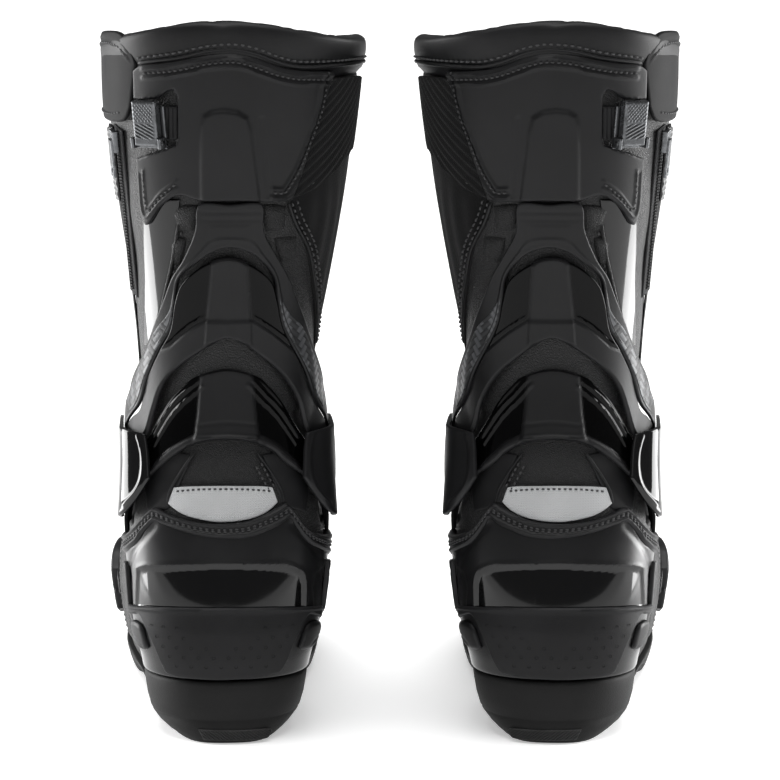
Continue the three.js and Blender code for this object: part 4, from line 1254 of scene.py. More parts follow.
LOWER_RIBS = [
    [-76, 132, -76, 112], [-61, 135, -62, 107], [-48, 134, -48, 113], [-41.5, 136, -38, 121],
    [-35.5, 145, -32, 125.5], [-27.5, 155.5, -26, 130], [-19, 164, -18, 135.5],
    [-13, 168.5, -10, 138.5], [0.5, 172, 0.5, 139.5], [13.5, 168.5, 11.5, 138],
    [20, 163, 21, 133.5], [26.5, 155.5, 26.5, 128.5], [32.5, 147, 32, 124.5],
    [38.5, 139.5, 38, 121], [44, 134, 48, 113], [61, 135, 62, 107], [76, 132, 76, 112],
]
MIDDLE_RIBS = [
    [-76, 130, -76, 114], [-62, 140, -62, 116], [-52, 146, -49, 126], [-45, 151, -39.5, 139],
    [-37, 168, -34.5, 151], [-29.5, 180.5, -30, 161], [-24, 190, -25.5, 167.5],
    [-21.5, 204, -20, 173], [-18, 213, -14, 178], [-9, 221.5, -7, 183], [1.5, 225, 1, 187],
    [11, 221.5, 9.5, 182.5], [19.5, 214, 15.5, 177.5], [22.5, 204, 21.5, 172],
    [25, 192, 27, 166], [30.5, 180.5, 31.5, 160], [38, 168.5, 36, 152.5],
    [46.5, 157.5, 40.5, 140], [53, 148, 49.5, 127], [62, 141.5, 62, 116], [76, 130, 76, 114],
]
YOKE_RIBS = [
    [-82, 131, -74, 116], [-77, 146, -63, 134], [-63, 155, -50, 147.5], [-52, 167, -43.5, 156],
    [-44.5, 176, -38, 169], [-37, 190, -31.5, 182], [-30, 204, -26, 191.5], [-24, 215, -23.7, 204.5],
    [-18, 224, -20, 214.5], [-13, 237, -10.5, 224], [-11, 249.5, -4, 228], [2.5, 249.5, 2.5, 229.5],
    [16, 249.5, 10, 227.5], [17, 237, 15.5, 223.5], [23.5, 224, 21.8, 215], [29, 215, 24.8, 204.5],
    [35.5, 203.5, 27.2, 192.5], [42, 191.5, 32.3, 182], [50, 177, 39.4, 169.8],
    [57, 167.5, 45.5, 158.5], [65, 157, 52, 149], [78, 146, 64.5, 134], [82, 131, 74, 116],
]


def drawn_in(s, z):
    """The yoke's arms lie a little nearer the back seam between the ankle and its neck."""
    shift = 2.2 * float(smooth(146, 160, z) * smooth(222, 200, z))
    return s - math.copysign(shift, s) if abs(s) > 20 else s


YOKE_RIBS = [[drawn_in(a, b), b, drawn_in(c, d), d] for a, b, c, d in YOKE_RIBS]
CAP_COLUMNS = [[36, 139.5, 34, 120], [44, 140.5, 46, 104.5], [60, 141, 60, 99.5],
               [78, 141, 78, 100], [93, 139, 93, 103], [106, 131, 106, 110]]


def rib_line(ribs, first, last, part):
    return [(mix(c, a, part), mix(d, b, part)) for a, b, c, d in ribs[first : last + 1]]


def lower_arch():
    centre = [(-10.9, 171), (0.6, 174), (11.9, 170.5), (12.4, 159.6), (13.6, 146.5), (15, 138),
              (-14.5, 138),
              (-12.6, 152), (-11.6, 166.6)]
    band = [(-42, 118), (-34, 128), (-27, 134), (-20.7, 137.8), (-13.9, 141.6), (1, 142.4),
            (16, 140.8), (22.8, 137), (28, 132.6), (33, 128), (42, 118), (30, 118), (0, 132), (-30, 118)]
    outer_side = [(-13.5, 168), (-19, 163.5), (-27.5, 155), (-35.4, 144), (-40.4, 136.5)]
    inner_side = [(13.8, 168), (19.9, 160.7), (26.3, 154), (32.6, 145.6), (38.4, 137.8)]
    frames = [ridge(beside(side, sign * off), 0.7, 1.1, False)
              for side, sign in ((outer_side, 1), (inner_side, -1)) for off in (2.2, 5.2)]
    relief = total(field(centre, 1.2, 1.3), field(band, 0.9, 1.2), *frames,
                   ridge([(-11.5, 146), (0.5, 147.5), (13, 146)], -0.3, 1.0))
    # The side fields sit lower than the raised centre and band; the gloss painted here is a real glossy
    # finish and also painted shade on these recessed fields.
    side_gloss_and_painted_shade = lambda s, z: (1 - area(centre)(s, z)) * (1 - area(band)(s, z)) * smooth(120, 126, z)
    place = brace(LOWER_PLANES, 1.6, base=1)
    parts = [panel(LOWER_RIBS, 1.6, step=0.9, rim=0.8, relief=relief, place=place,
                   paint={"gloss": side_gloss_and_painted_shade})]
    for sign in (-1, 1):
        ribs = [[sign * 78 + a, 114, sign * 78 + a, 90] for a in (-6, 0, 6)]
        parts.append(panel(ribs, 1.6, step=1.4, rim=0.6,
                           place=brace(LOWER_PLANES, 1.6, base=1, near=17, far=28)))
    boots("lower_brace_arch", together(parts + eyes(LOWER_PLANES)), "satin", "feet", "lower_arch")
    stud = [(1.3, 2.2), (1.3, 4.6), (1.0, 5.0), (0.1, 5.1)]
    studs = [flat_at(*at).turned(stud) for at in ((-44.5, 139.2), (-42.6, 135.4))]
    boots("brace_studs", together(studs), "metal", "feet")


def mid_arch():
    centre = [(-5.7, 226), (9.4, 226), (10.2, 214), (11.1, 196), (11.5, 182.6), (1.1, 186.6), (-9.2, 183),
              (-8.4, 196), (-7, 210)]
    top_l = [(-8.6, 196), (-13.3, 193), (-18, 188.7), (-23.5, 183), (-29.4, 180), (-37, 168), (-43.4, 156),
             (-47, 149)]
    top_r = [(11.5, 196), (19.5, 190), (30.4, 180), (38, 168.4), (47, 157.5), (54, 147)]
    wings = [*top_l, (-60, 140), (-60, 110), (-30, 140), (0, 176), (30, 140), (60, 110), (60, 140),
             *top_r[::-1]]
    relief = total(
        field(centre, 1.1, 1.2),
        ridge([(1.9, 224), (1.6, 188)], 0.35, 3.5),
        field(wings, 0.8, 1.2),
        ridge(beside(top_l, -1.4), 0.5, 1.0, False),
        ridge(beside(top_r, 1.4), 0.5, 1.0, False),
    )
    # The flanks outside the raised centre and wings get the gloss paint: a real glossy finish and also
    # painted shade on these recessed flanks.
    flank_gloss_and_painted_shade = lambda s, z: (1 - area(centre)(s, z)) * (1 - area(wings)(s, z))
    place = brace(MIDDLE_PLANES, 1.6, base=3.3)
    arch = panel(MIDDLE_RIBS, 1.6, step=0.9, rim=0.8, relief=relief, place=place, paint={"gloss": flank_gloss_and_painted_shade})
    boots("middle_brace_arch", together([arch, *eyes(MIDDLE_PLANES)]), "satin", "middle_arch", "mid_arch",
          "gloss_plastic")


def yoke_lift(s, z):
    return mix(5.3, 2.2, smooth(160, 190, z))


def yoke():
    neck = total(ridge([(-12, 246), (17, 246)], -0.3, 0.9),
                 ridge([(-12.5, 242.6), (18, 242.6)], -0.25, 0.9))
    inner_edge = ridge(rib_line(YOKE_RIBS, 5, 17, 0.2), 0.5, 1.1)
    crown = field([(-7.5, 241), (12, 241), (12, 233), (9, 231), (-4, 231), (-7.5, 233)], 0.25, 2.0)
    place = brace(YOKE_PLANES, 1.8, base=yoke_lift)
    body = panel(YOKE_RIBS, 1.8, step=0.8, rim=0.9, relief=total(neck, inner_edge, crown), place=place)
    boots("ankle_yoke", together([body, *eyes(YOKE_PLANES)]), "satin", "leg", "yoke")
    near = 0.1
    for sign, word in WORDS:
        arm = YOKE_RIBS[15:21] if sign > 0 else YOKE_RIBS[2:8]
        ribs = []
        for i, (a, b, c, d) in enumerate(arm):
            from_point = i if sign > 0 else len(arm) - 1 - i
            far = mix(0.16, 0.76, float(smooth(0, 2, from_point)))
            ribs.append([mix(c, a, far), mix(d, b, far), mix(c, a, near), mix(d, b, near)])
        lie = brace([YOKE_PLANES[1] + 0.1, YOKE_PLANES[1] + 0.6], 0.55, base=lambda s,
                    z: yoke_lift(s, z) + 1.65)
        inlay = panel(ribs, 0.55, step=0.8, rim=0.4, place=lie)
        boots(f"carbon_panel_{word}", inlay, "carbon", "leg", f"carbon_inlay_{word}")


def pivot_caps():
    for sign, word in WORDS:
        columns = [[sign * a, b, sign * c, d] for a, b, c, d in CAP_COLUMNS[::sign]]
        centre, finish = (76.5, "satin") if sign > 0 else (75.5, "gloss")
        away = lambda s, z: np.hypot(np.abs(s) - centre, z - 122)
        swell = lambda s, z: 0.9 * (1 - smooth(8, 19, away(s, z)))
        dish = lambda s, z: -0.9 * (1 - smooth(6.2, 7.2, away(s, z)))
        edge = [(38.6, 138), (37.2, 129), (37.4, 120), (41, 112.5), (48, 106)]
        rim_line = ridge([(sign * s, z) for s, z in edge], 0.55, 1.3)
        place = brace(CAP_PLANES, 1.8, near=20, far=42, behind=True,
                      base=lambda s, z: mix(5.6, 7.2, smooth(34, 48, np.abs(s))))
        cap = panel(columns, 1.8, step=0.9, rim=1.1, relief=total(swell, rim_line, dish), place=place)
        boots(f"pivot_cover_{word}", cap, finish, "feet", f"ankle_pivot_{word}")
        head = [(6.0, 4.0), (5.9, 6.8), (5.2, 7.3), (2.8, 7.3), (2.6, 6.4), (2.2, 6.0), (0.3, 6.0)]
        boots(f"pivot_screw_{word}", pivot_frame(sign).turned(head), "metal", "feet")


# --------------------------------------------------------------------------------- the leg


def gaiter():
    bottom = lambda share: upper_top(length_at(share, 97.0)) - 2.5
    top = lambda share: 152 + 0 * share
    depth = lambda share: mix(-0.2, -2.8, smooth(0.16, 0.36, np.abs(share))) + 1.2 * smooth(0.62, 0.8,
        np.abs(share))
    pleats = lambda s, z: 0.8 * np.sin(z * 2 * math.pi / 8.5) * smooth(95, 120, np.abs(s)) + 0.5 * (
        1 - smooth(20, 34, np.abs(s))) * np.sin((z - 119) * math.pi / 22)
    shape = ring(wall(bottom, top, depth, 2, 34), 150, pleats)
    boots("ankle_bellows", shape, "soft_leather", "leg", "ankle_gaiter",
          blend_over=((0, 68, 104), (0, 68, 148)))


def shaft():
    waves = lambda s, z: 0.35 * np.sin(z / 9 + np.sin(s / 21) * 1.6) * (1 - smooth(235, 260, z))
    arch_pad = lambda s, z: 1.1 * (1 - smooth(14, 34, np.abs(s - 1))) * smooth(150, 168,
        z) * (1 - smooth(186, 200, z))
    shape = ring(wall(lambda a: 150 + 0 * a, lambda a: 306 + 0 * a, lambda a: 0, 3.5, 64), 150,
                 total(waves, arch_pad))
    boots("leg_leather", shape, "leather", "leg", "shaft")

    bands = lambda s, z: 0.42 * np.sin((z * 0.82 - (s - 40) * 0.57) * 2 * math.pi / 3.4)
    rib_ribs = [[34, 305, 31, 251], [50, 305, 46, 256], [68, 305, 66, 266], [92, 304, 92, 272],
                [128, 302, 124, 276]]
    boots("inner_ribbed_panel", panel(rib_ribs, 1.2, base=0.9, step=0.9, rim=0.6, relief=bands), "fabric",
          "leg")
    suede_ribs = [[30, 252.5, 40, 226], [46, 257.5, 50, 200], [66, 267.5, 64, 174], [92, 273.5, 84, 168],
                  [124, 277.5, 106, 166]]
    nap = lambda s, z: 0.3 * np.sin(s * 0.55 + 2.4 * np.sin(z * 0.07)) * smooth(270, 240, z)
    boots("inner_grip_panel", panel(suede_ribs, 0.9, base=0.1, step=1.4, rim=0.8, relief=nap), "suede",
          "leg")
    edge = [(29.5, 249), (33.5, 239), (41.6, 226), (46, 214), (51.3, 201), (58, 189), (66, 178)]
    seam = [(36, 253), (47, 257), (66, 267), (92, 273), (122, 277)]
    rows = [stitches(beside(line, off), d, smoothed=False)
            for line, off, d in ((edge, 1.4, 1.55), (edge, 4.2, 1.55), (seam, 2.2, 1.3))]
    boots("inner_stitching", together(rows), "thread", "leg")
    boots("inner_edge_bead", bead(spline(edge), 0.8, 1.1), "collar", "leg")

    strip = [[-20.4, 251, -42, 250], [-22, 240, -42.5, 238.6], [-24.4, 226, -43, 225],
             [-27.7, 213, -43.4, 212], [-33, 196, -45.6, 195],
             [-38.6, 181, -47.8, 180]]
    boots("outer_gloss_strip", panel(strip, 0.9, base=0.3, step=1.0, rim=0.6), "gloss", "leg")
    lip = spline([(-22, 240), (-24.4, 226), (-27.7, 213), (-33, 196), (-38.6, 181)])
    boots("outer_strip_piping", bead(lip + [0.7, 0], 0.85, 0.9), "soft_leather", "leg")
    sew("outer_strip_stitching", "leg", [beside(lip[::6], 2.6)], 0.25)

    out_panel = [[-88, 282, -74, 166], [-80, 282, -70, 166], [-67, 282, -66, 166]]
    boots("outer_front_panel", panel(out_panel, 1.0, base=0.2, step=1.6, rim=0.8), "flap", "leg")
    facets = lambda s, z: 0.5 * np.abs(np.sin((z + s) * math.pi / 5)) * np.abs(np.sin((z - s) * math.pi / 5))
    band = [[-80, 281, -78, 247], [-72, 282, -71, 247], [-67, 282, -66.5, 247]]
    boots("outer_gloss_band", panel(band, 1.0, base=1.2, step=0.7, rim=0.6, relief=facets), "gloss", "leg")


def soft_pads():
    """Padded leather bellows beside the yoke's neck, blown up by a short cloth simulation."""
    pads = []
    for low, high, spans in ((234.6, 248.6, ((-25, -11.5), (16.5, 29))),
                             (219.5, 233.6, ((-27.5, -18.5), (23, 36)))):
        (a, b), (c, d) = spans
        pads.append([[a, high - 2, a, low], [(a + b) / 2, high, (a + b) / 2, low], [b, high, b - 1, low]])
        pads.append([[c, high, c + 1, low], [(c + d) / 2, high, (c + d) / 2, low], [d, high - 1, d, low]])
    shapes = [inflate(panel(ribs, 3.4, base=-2.0, step=1.3, rim=3.3), 1.2) for ribs in pads]
    for k, shape in enumerate(shapes):
        boots(f"leg_bellows_{k + 1}", shape, "soft_leather", "leg")


def inflate(shape, cap):
    """Blows a closed shape up with a cloth simulation; no point moves further than cap."""
    scene = bpy.context.scene
    scale, last_step = 0.01, 15
    mesh = bpy.data.meshes.new("pad_blank")
    mesh.from_pydata((shape.points * scale).tolist(), [], shape.faces)
    blank = bpy.data.objects.new("pad_blank", mesh)
    scene.collection.objects.link(blank)
    cloth = blank.modifiers.new("cloth", "CLOTH")
    cloth.settings.use_pressure = True
    cloth.settings.uniform_pressure_force = 3.0
    cloth.settings.effector_weights.gravity = 0
    cloth.settings.quality = 5
    for step in range(1, last_step + 1):
        scene.frame_set(step)
    puffed = blank.evaluated_get(bpy.context.evaluated_depsgraph_get()).data
    points = np.zeros(len(puffed.vertices) * 3)
    puffed.vertices.foreach_get("co", points)
    move = points.reshape(-1, 3) / scale - shape.points
    far = np.linalg.norm(move, axis=1, keepdims=True)
    move *= np.minimum(1, cap / np.maximum(far, 1e-9))
    scene.frame_set(1)
    bpy.data.objects.remove(blank)
    return Shape(shape.points + move, shape.faces, shape.flat, shape.paint)


def collar():
    def top(share):
        y = length_at(share, 305.0)
        s = share * half_girth(320.0 + 0 * share.ravel(), share.ravel() >= 0).reshape(share.shape)
        return 332.8 - 9.5 * (1 - np.exp(-((s / 45) ** 2))) - 3 * smooth(60, 115, y)

    def profile(share):
        low = 305.5 + 0 * share
        high = top(share)
        v = np.linspace(0, 1, 12)[None, :]
        bulge = 0.4 + 2.4 * np.sin(v * math.pi * 0.62) ** 1.2
        z_out, d_out = low + (high - 3 - low) * v, bulge + 0 * share
        turn = np.linspace(0, math.pi, 8)[None, 1:-1]
        edge = 2.4 * math.sin(math.pi * 0.62) ** 1.2 + 0.4
        z_lip = high - 3 + 3 * np.sin(turn)
        d_lip = edge - 3.6 + 3.6 * np.cos(turn) + 0 * share
        w = np.linspace(1, 0, 8)[None, :]
        z_in = low + (high - 3 - low) * w
        d_in = edge - 7.2 + 0 * w + 0 * share
        z = np.concatenate([z_out, z_lip, z_in], axis=1)
        d = np.concatenate([d_out, d_lip, d_in], axis=1)
        outer = np.concatenate([0 * v + 1, 0 * turn + 0.6, 0 * w], axis=1)
        return z, d, outer

    dents = lambda s, z: 0.25 * np.sin(s / 13 + 0.6 * np.sin(z / 6))
    shape = inflate(ring(profile, 150, dents), 1.6)
    boots("padded_collar", shape, "collar", "leg", "collar")
    line = [(-40.5, 312.2), (-37.6, 313), (-26, 314.6), (-18, 316), (-9.7, 318.2), (-1.8, 319.3),
            (6, 319.3),
            (14, 317.4), (22.4, 314), (31, 311.6), (40, 311), (61, 311), (90, 311), (120, 310)]
    boots("collar_piping", bead(spline(line), 0.95, 2.6), "collar", "leg")
    sew("collar_stitching", "leg", [beside(line, 2.2)], 3.1, smoothed=False)


WELT = [(-37.6, 312), (-26, 313), (-18, 314.3), (-9.7, 316.4), (-1.8, 317.4), (6, 317.4), (14, 315.3),
        (22.4, 312), (31, 309.8), (40, 309.2), (51.8, 308.6)]
WELT_SIDE = [(52.6, 308.2), (50.6, 298), (48.2, 288.6), (42.3, 275), (37.4, 264), (33, 256.6), (29.6, 252),
             (25.6, 250.4), (20.4, 250.8)]


def calf_plate():
    ribs = [[-43.5, 309, -42, 247], [-38, 312, -37.5, 238.5], [-28, 313, -29, 248],
            [-20, 314.3, -20, 253.5], [-10, 316.5, -10, 251], [-2, 317.5, -2, 250.8],
            [6, 317.4, 6, 250.8], [14.5, 315.3, 14, 250.5], [26, 311, 20, 250.3],
            [38, 309.2, 25.5, 250.2], [52.5, 308.5, 30.5, 250.8]]
    hole = [(-50, 296), (-31, 296.5), (-26, 300), (-22.6, 301), (-20.4, 298), (-20.6, 280),
            (-21.5, 276.4), (-27.8, 274), (-36, 271.4), (-50, 267)]
    rib_area = [(-9.6, 290.5), (-6, 292.6), (-0.4, 293.4), (6, 292.4), (10.6, 289.5), (12.4, 283),
                (13.8, 270), (16, 252), (16, 249), (-11.3, 249), (-11.4, 268), (-11, 286)]
    beads = [ridge(beside(line, -off), height, 1.3, False)
             for line, offs in ((WELT, (1.9, 5.8)), (WELT_SIDE, (1.9, 5.6))) for off, height in zip(offs,
                 (1.0, 0.9))]
    relief = total(
        field(rib_area, 1.3, 2.2),
        ridge([(16.4, 288), (17.6, 270), (19.4, 253)], -0.45, 2.2),
        *beads,
        ridge([(-40.5, 262), (-39.6, 247), (-36.6, 242.6), (-28.8, 250.4), (-21, 256.6)], 0.6, 1.1),
        ridge([(-38, 264), (-37, 250), (-34.8, 247.4), (-28.4, 254.4), (-21, 260.2)], 0.5, 1.1),
    )
    plate = panel(ribs, 2.4, base=1, step=0.8, rim=0.9, relief=relief, holes=[hole])
    boots("calf_guard", plate, "satin", "leg", "calf_plate")
    corner = [(-38, 263), (-37.4, 250), (-35.4, 245.6), (-28.6, 252.6), (-21, 258.8)]
    seams = [beside(WELT, -3.9), beside(WELT_SIDE, -3.8), spline(corner)]
    sew("calf_guard_stitching", "leg", seams, 3.5, smoothed=False, pitch=2.5)


def front_of_leg():
    ribs = [[-38, 288, -24, 180], [-20, 297, -14, 172], [0, 300, 0, 170], [20, 297, 14, 172],
            [38, 288, 24, 180]]
    slots = [[(a, 276 - 9 * k), (a * 0.62, 271 - 9 * k)] for k in range(4) for a in (-26, 26)]
    relief = total(
        field([(-9, 292), (9, 292), (6, 180), (-6, 180)], 1.4, 3),
        *[ridge(line, -0.9, 1.6) for line in slots],
        ridge([(-33, 284), (-21, 184)], 0.5, 1.4), ridge([(33, 284), (21, 184)], 0.5, 1.4),
    )
    plate = panel(ribs, 2.2, base=1, step=1.2, rim=1.1, relief=relief, place=from_front)
    boots("shin_guard", plate, "satin", "leg", "shin_plate")
    border = [(-40, 288), (-22, 299), (0, 302), (22, 299), (40, 288)]
    sew("shin_guard_stitching", "leg", [beside(border, 1.6)], 0.25, place=from_front, smoothed=False)
    fold = bead(spline([(-34, 158), (-16, 161), (0, 162), (16, 161), (34, 158)]), 2.6, 0.2,
                place=from_front,
                flatten=0.7, taper=5)
    boots("shin_fold", fold, "soft_leather", "leg")

    flap_ribs = [[-130, 316, -128, 288], [-108, 321, -108, 285], [-86, 324.6, -86, 285],
                 [-66, 326, -64, 284.6],
                 [-54, 325.4, -54, 285.4], [-46.5, 321, -49, 287.6], [-41.5, 312, -45.5, 293]]
    edges = total(*[ridge([(-127, 315 - off), (-108, 320 - off), (-86, 323.6 - off), (-66, 324.8 - off),
                           (-54, 323.4 - off), (-47, 318.6 - off)], 0.5, 1.1) for off in (1.4, 4.6)])
    flap = panel(flap_ribs, 2.0, base=1.0, step=1.1, rim=1.0, relief=edges)
    boots("front_closure_flap", flap, "flap", "leg", "front_flap")
    pile_ribs = [[-57, 310, -56, 287], [-47, 310.5, -47, 286.5], [-39.5, 309, -41, 288]]
    boots("closure_pile_patch", panel(pile_ribs, 1.1, base=0.6, step=1.0, rim=0.6), "suede", "leg")
    sew("front_flap_stitching", "leg", [
        [(-126, 310.8), (-108, 316), (-86, 319.4), (-66, 320.6), (-55, 319.4), (-48.4, 315)],
        [(-126, 292), (-108, 289), (-86, 288.6), (-66, 288.4), (-54, 289.6)]], 3.1)


# --------------------------------------------------------------------- buckle, strap and zip


def buckle():
    at = (-33.5, 286.0)
    lie = flat_at(*at)
    teeth = lambda s, z: 0.45 * np.abs(np.sin((s + 40) * math.pi / 2.1))
    ribs = [[s, at[1] + 7.5, s, at[1] - 7.5] for s in (-42, -36, -30, -25, -20.8)]
    boots("ladder_strap_teeth", panel(ribs, 1.0, base=1.0, step=0.35, rim=0.5, relief=teeth), "pad", "leg",
          "ladder_strap")

    ear_in, ear_out, pin_b, pin_d = 6.8, 8.4, -8.6, 5.8
    base = [lie.slab((-ear_out, ear_out), (-11.5, 8), 2.4, 3.6, rim=0.4, step=1.0)]
    for across in ((-ear_out, -ear_in), (ear_in, ear_out)):
        base.append(lie.slab(across, (pin_b - 2.4, pin_b + 2.4), 2.6, pin_d + 2.4, rim=0.5, step=0.6))
    boots("buckle_frame", together(base), "metal", "leg", "buckle_base")

    def grip(a, b):
        knurl = np.abs(np.sin((a + b) * math.pi / 1.9)) * np.abs(np.sin((a - b) * math.pi / 1.9))
        above = smooth(1.2, 1.8, b) * smooth(9.6, 9.0, b)
        slant = np.abs(np.sin((b + 0.45 * a) * math.pi / 1.7))
        below = smooth(0.6, 0.0, b) * smooth(-6.6, -6.0, b)
        frame_edge = smooth(5.6, 5.0, np.abs(a))
        return (0.5 * knurl * above + 0.45 * slant * below - 0.25 * (above + below)) * frame_edge

    lever = lie.slab((-6.5, 6.5), (-9.8, 10.5), 4.1, 8.0, rim=1.1, step=0.32, relief=grip)
    pin = lie.rod(1.2, (-ear_out - 0.2, ear_out + 0.2), pin_b, pin_d)
    boots("buckle_handle", together([lever, pin]), "metal", "lever", "buckle_lever")


def zip_frame():
    """The zip's flat frame in the middle of its length, and half that length."""
    s, z, half = -61.0, 243.0, 38.0
    high, low = (spot(from_back, s, z + h) for h in (half, -half))
    up = unit(high - low)
    out = unit(np.cross(spot(from_back, s + 1, z) - spot(from_back, s - 1, z), up))
    return Flat((high + low) / 2, np.cross(up, out), up, out), float(np.linalg.norm(high - low)) / 2


def zip_closure():
    lie, half = zip_frame()
    tape = lie.slab((-6.0, 6.0), (-half - 2, half + 1), 0.4, 1.2, rim=0.35, step=1.4)
    boots("zip_tape", tape, "lining", "leg", "zip_track")
    teeth, pitch = [], 1.5
    for k in range(int(2 * half / pitch)):
        b = -half + pitch * (k + 0.5)
        for sign, shift in ((-1, 0.0), (1, 0.75)):
            a0, a1 = sorted((sign * 0.3, sign * 2.2))
            teeth.append(tooth(lie, (a0, a1), (b + shift - 0.45, b + shift + 0.45), 1.1, 2.1))
    boots("zip_teeth", together(teeth), "satin", "leg", slot=None)
    top = half
    body = lie.slab((-2.9, 2.9), (top - 10, top), 2.4, 4.7, rim=0.7, step=0.6,
                    relief=lambda a, b: -0.5 * smooth(2.0, 1.4, np.abs(a)) * smooth(top - 8.6, top - 8, b))
    hole = [(-1.1, top - 20.5), (1.1, top - 20.5), (1.1, top - 17.5), (-1.1, top - 17.5)]
    ribs = [[-2.0, top - 4, -2.6, top - 22], [2.0, top - 4, 2.6, top - 22]]
    pull = panel(ribs, 1.0, base=4.7, step=0.5, rim=0.35, place=lie, smoothed=False, holes=[hole])
    boots("zip_runner", together([body, pull]), "metal", "zip_pull", "zip_slider")


def tooth(lie, a, b, d0, d1):
    """A small block that is narrower at its top."""
    flat = np.array([(a[i] + (1 - 2 * i) * inset, b[j] + (1 - 2 * j) * inset)
                     for inset in (0, 0.18) for i, j in ((0, 0), (1, 0), (1, 1), (0, 1))])
    points = lie(flat[:, 0], flat[:, 1], np.repeat([d0, d1], 4))
    return Shape(points, tube(2, 4), flat)


# ------------------------------------------------------------------------------- the stage


def stage():
    look = bpy.context.scene.boot_colours
    bpy.ops.mesh.primitive_grid_add(x_subdivisions=8, y_subdivisions=8, size=60, location=(0, 0, 0))
    floor = bpy.context.object
    floor.name = "studio_floor"
    floor.data.materials.append(floor_finish("studio_paper", look.floor))

    world = bpy.data.worlds.new("studio_air")
    world.use_nodes = True
    air = world.node_tree.nodes["Background"].inputs
    air["Color"].default_value, air["Strength"].default_value = (1, 1, 1, 1), 0.16
    bpy.context.scene.world = world

    lamp("overhead", "SUN", (0, 0, 3), (0, 0.25, 0), 2.9, angle=math.radians(55))
    for sign, word in ((-1, "left"), (1, "right")):
        lamp(f"panel_{word}", "AREA", (sign * 1.35, 0.36, 0.4), (sign * 0.1, -0.05, 0.2), 22,
             size=(0.7, 0.75))
        lamp(f"card_{word}", "AREA", (sign * 0.52, 0.05, 0.055), (sign * 0.1, -0.12, 0.06), 0.9,
             size=(0.24, 0.1))
    lamp("front_fill", "AREA", (0, -2.4, 1.6), (0, 0, 0.15), 4, size=(1.6, 0.8))

    camera = bpy.data.objects.new("camera", bpy.data.cameras.new("camera"))
    bpy.context.scene.collection.objects.link(camera)
    camera.location = (0, -1.7476, 0.4)
    aim = Vector((0, -0.1476, 0.1655)) - camera.location
    camera.rotation_euler = aim.to_track_quat("-Z", "Y").to_euler()
    camera.data.lens, camera.data.sensor_width = 164.95, 36
    camera.data.clip_start, camera.data.clip_end = 0.05, 100
    bpy.context.scene.camera = camera
    bpy.context.scene.view_settings.view_transform = "Standard"


def lamp(name, kind, place, target, strength, size=None, angle=None):
    data = bpy.data.lights.new(name, kind)
    data.energy = strength
    if size:
        data.shape = "RECTANGLE"
        data.size, data.size_y = size
    if angle:
        data.angle = angle
    light = bpy.data.objects.new(name, data)
    bpy.context.scene.collection.objects.link(light)
    light.location = place
    light.rotation_euler = (Vector(target) - Vector(place)).to_track_quat("-Z", "Y").to_euler()


# -------------------------------------------------------------------- settings and operators


def colour(name, description, value):
    return bpy.props.FloatVectorProperty(
        name=name, description=description, subtype="COLOR", size=3, min=0, max=1, default=value
    )


class BootColours(bpy.types.PropertyGroup):
    """Base colours of the finishes."""

    leather: colour("Leather", "Grained leather of the leg and foot", (0.008, 0.008, 0.0084))
    satin: colour("Satin plastic", "Moulded guards and brace", (0.0055, 0.0055, 0.006))
    gloss: colour("Gloss plastic", "Heel shell and pivot cover", (0.003, 0.003, 0.0032))
    rubber: colour("Rubber", "Sole and heel", (0.006, 0.006, 0.006))
    lining: colour("Lining", "Inside of the boot", (0.02, 0.02, 0.021))
    carbon: colour("Carbon", "Carbon panels", (0.03, 0.031, 0.033))
    reflective: colour("Reflective cloth", "Patch at the heel", (0.38, 0.385, 0.39))
    metal: colour("Metal", "Buckle, screws and zip runner", (0.065, 0.067, 0.07))
    thread: colour("Thread", "Stitching", (0.035, 0.035, 0.036))
    floor: colour("Floor", "Studio paper", (0.93, 0.93, 0.93))


class BootSizes(bpy.types.PropertyGroup):
    """Sizes of the sewn detail."""

    stitch_pitch: bpy.props.FloatProperty(
        name="Stitch pitch", description="From one stitch to the next",
        default=0.003, unit="LENGTH",
    )
    thread_width: bpy.props.FloatProperty(
        name="Thread", description="Thickness of the thread", default=0.0009, unit="LENGTH"
    )


def operator(name, label, doc, build):
    def execute(self, context):
        build()
        return {"FINISHED"}

    return type(f"BOOTS_OT_{name}", (bpy.types.Operator,), {
        "bl_idname": f"boots.{name}", "bl_label": label, "__doc__": doc, "execute": execute,
        "bl_options": {"REGISTER", "UNDO"}})


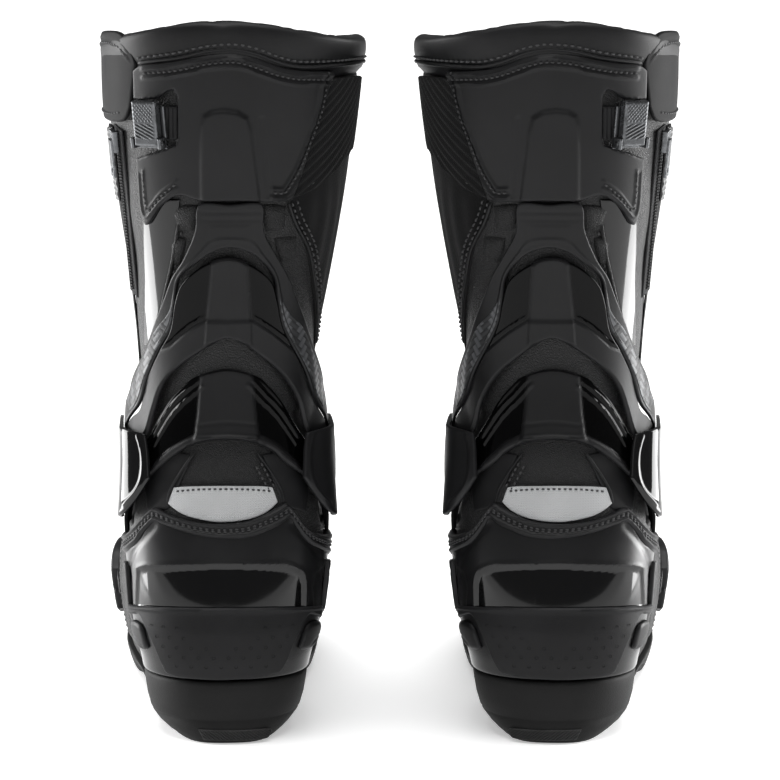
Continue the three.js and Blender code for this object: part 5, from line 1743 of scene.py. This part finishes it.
OPERATORS = [
    operator("sole", "Sole", "Sole unit, heel plug and footbed.", sole),
    operator("foot", "Foot", "Leather upper, toe cap, side panels, shift grip and toe slider.", foot_upper),
    operator("heel", "Heel", "Heel shell, grip pad, brackets, stitched trim and reflective tab.", heel),
    operator("lower_arch", "Lower arch", "Lower arch of the ankle brace and its studs.", lower_arch),
    operator("middle_arch", "Middle arch", "Arch between the lower arch and the yoke.", mid_arch),
    operator("yoke", "Yoke", "Yoke on the leg with its carbon panels.", yoke),
    operator("pivots", "Pivots", "Covers and screws of the ankle pivots.", pivot_caps),
    # Pleated leather at the ankle.
    operator("bellows", "Ankle bellows", "Pleated leather that bends at the ankle.", gaiter),
    operator("leg", "Leg", "Leather leg with its sewn panels, strips and bands.", shaft),
    operator("pads", "Leg pads", "Padded bellows beside the yoke.", soft_pads),
    operator("collar", "Collar", "Padded collar and its piping.", collar),
    operator("calf_guard", "Calf guard", "Moulded calf guard with its welt.", calf_plate),
    operator("front", "Front", "Shin guard and closure flap.", front_of_leg),
    operator("buckle", "Buckle", "Buckle, lever and toothed strap.", buckle),
    operator("zip", "Zip", "Zip tape, teeth and runner.", zip_closure),
    operator("stage", "Stage", "Floor, lights and camera.", stage),
]


class BOOTS_PT_panel(bpy.types.Panel):
    """Lists the pieces of the boots."""

    bl_label = "Riding boots"
    bl_space_type = "VIEW_3D"
    bl_region_type = "UI"
    bl_category = "Riding boots"

    def draw(self, context):
        for group in (context.scene.boot_sizes, context.scene.boot_colours):
            for key in group.bl_rna.properties.keys():
                if key not in ("rna_type", "name"):
                    self.layout.prop(group, key)
        for made in OPERATORS:
            self.layout.operator(made.bl_idname)


CLASSES = [BootColours, BootSizes, *OPERATORS, BOOTS_PT_panel]


def register():
    for item in CLASSES:
        bpy.utils.register_class(item)
    bpy.types.Scene.boot_colours = bpy.props.PointerProperty(type=BootColours)
    bpy.types.Scene.boot_sizes = bpy.props.PointerProperty(type=BootSizes)


def unregister():
    del bpy.types.Scene.boot_sizes
    del bpy.types.Scene.boot_colours
    for item in reversed(CLASSES):
        bpy.utils.unregister_class(item)


def main():
    register()
    make_finishes(bpy.context.scene.boot_colours)
    for made in OPERATORS:
        call = getattr(bpy.ops.boots, made.bl_idname.split(".")[1])
        if call() != {"FINISHED"}:
            raise RuntimeError(f"{made.bl_label} was not made")


if __name__ == "__main__":
    main()
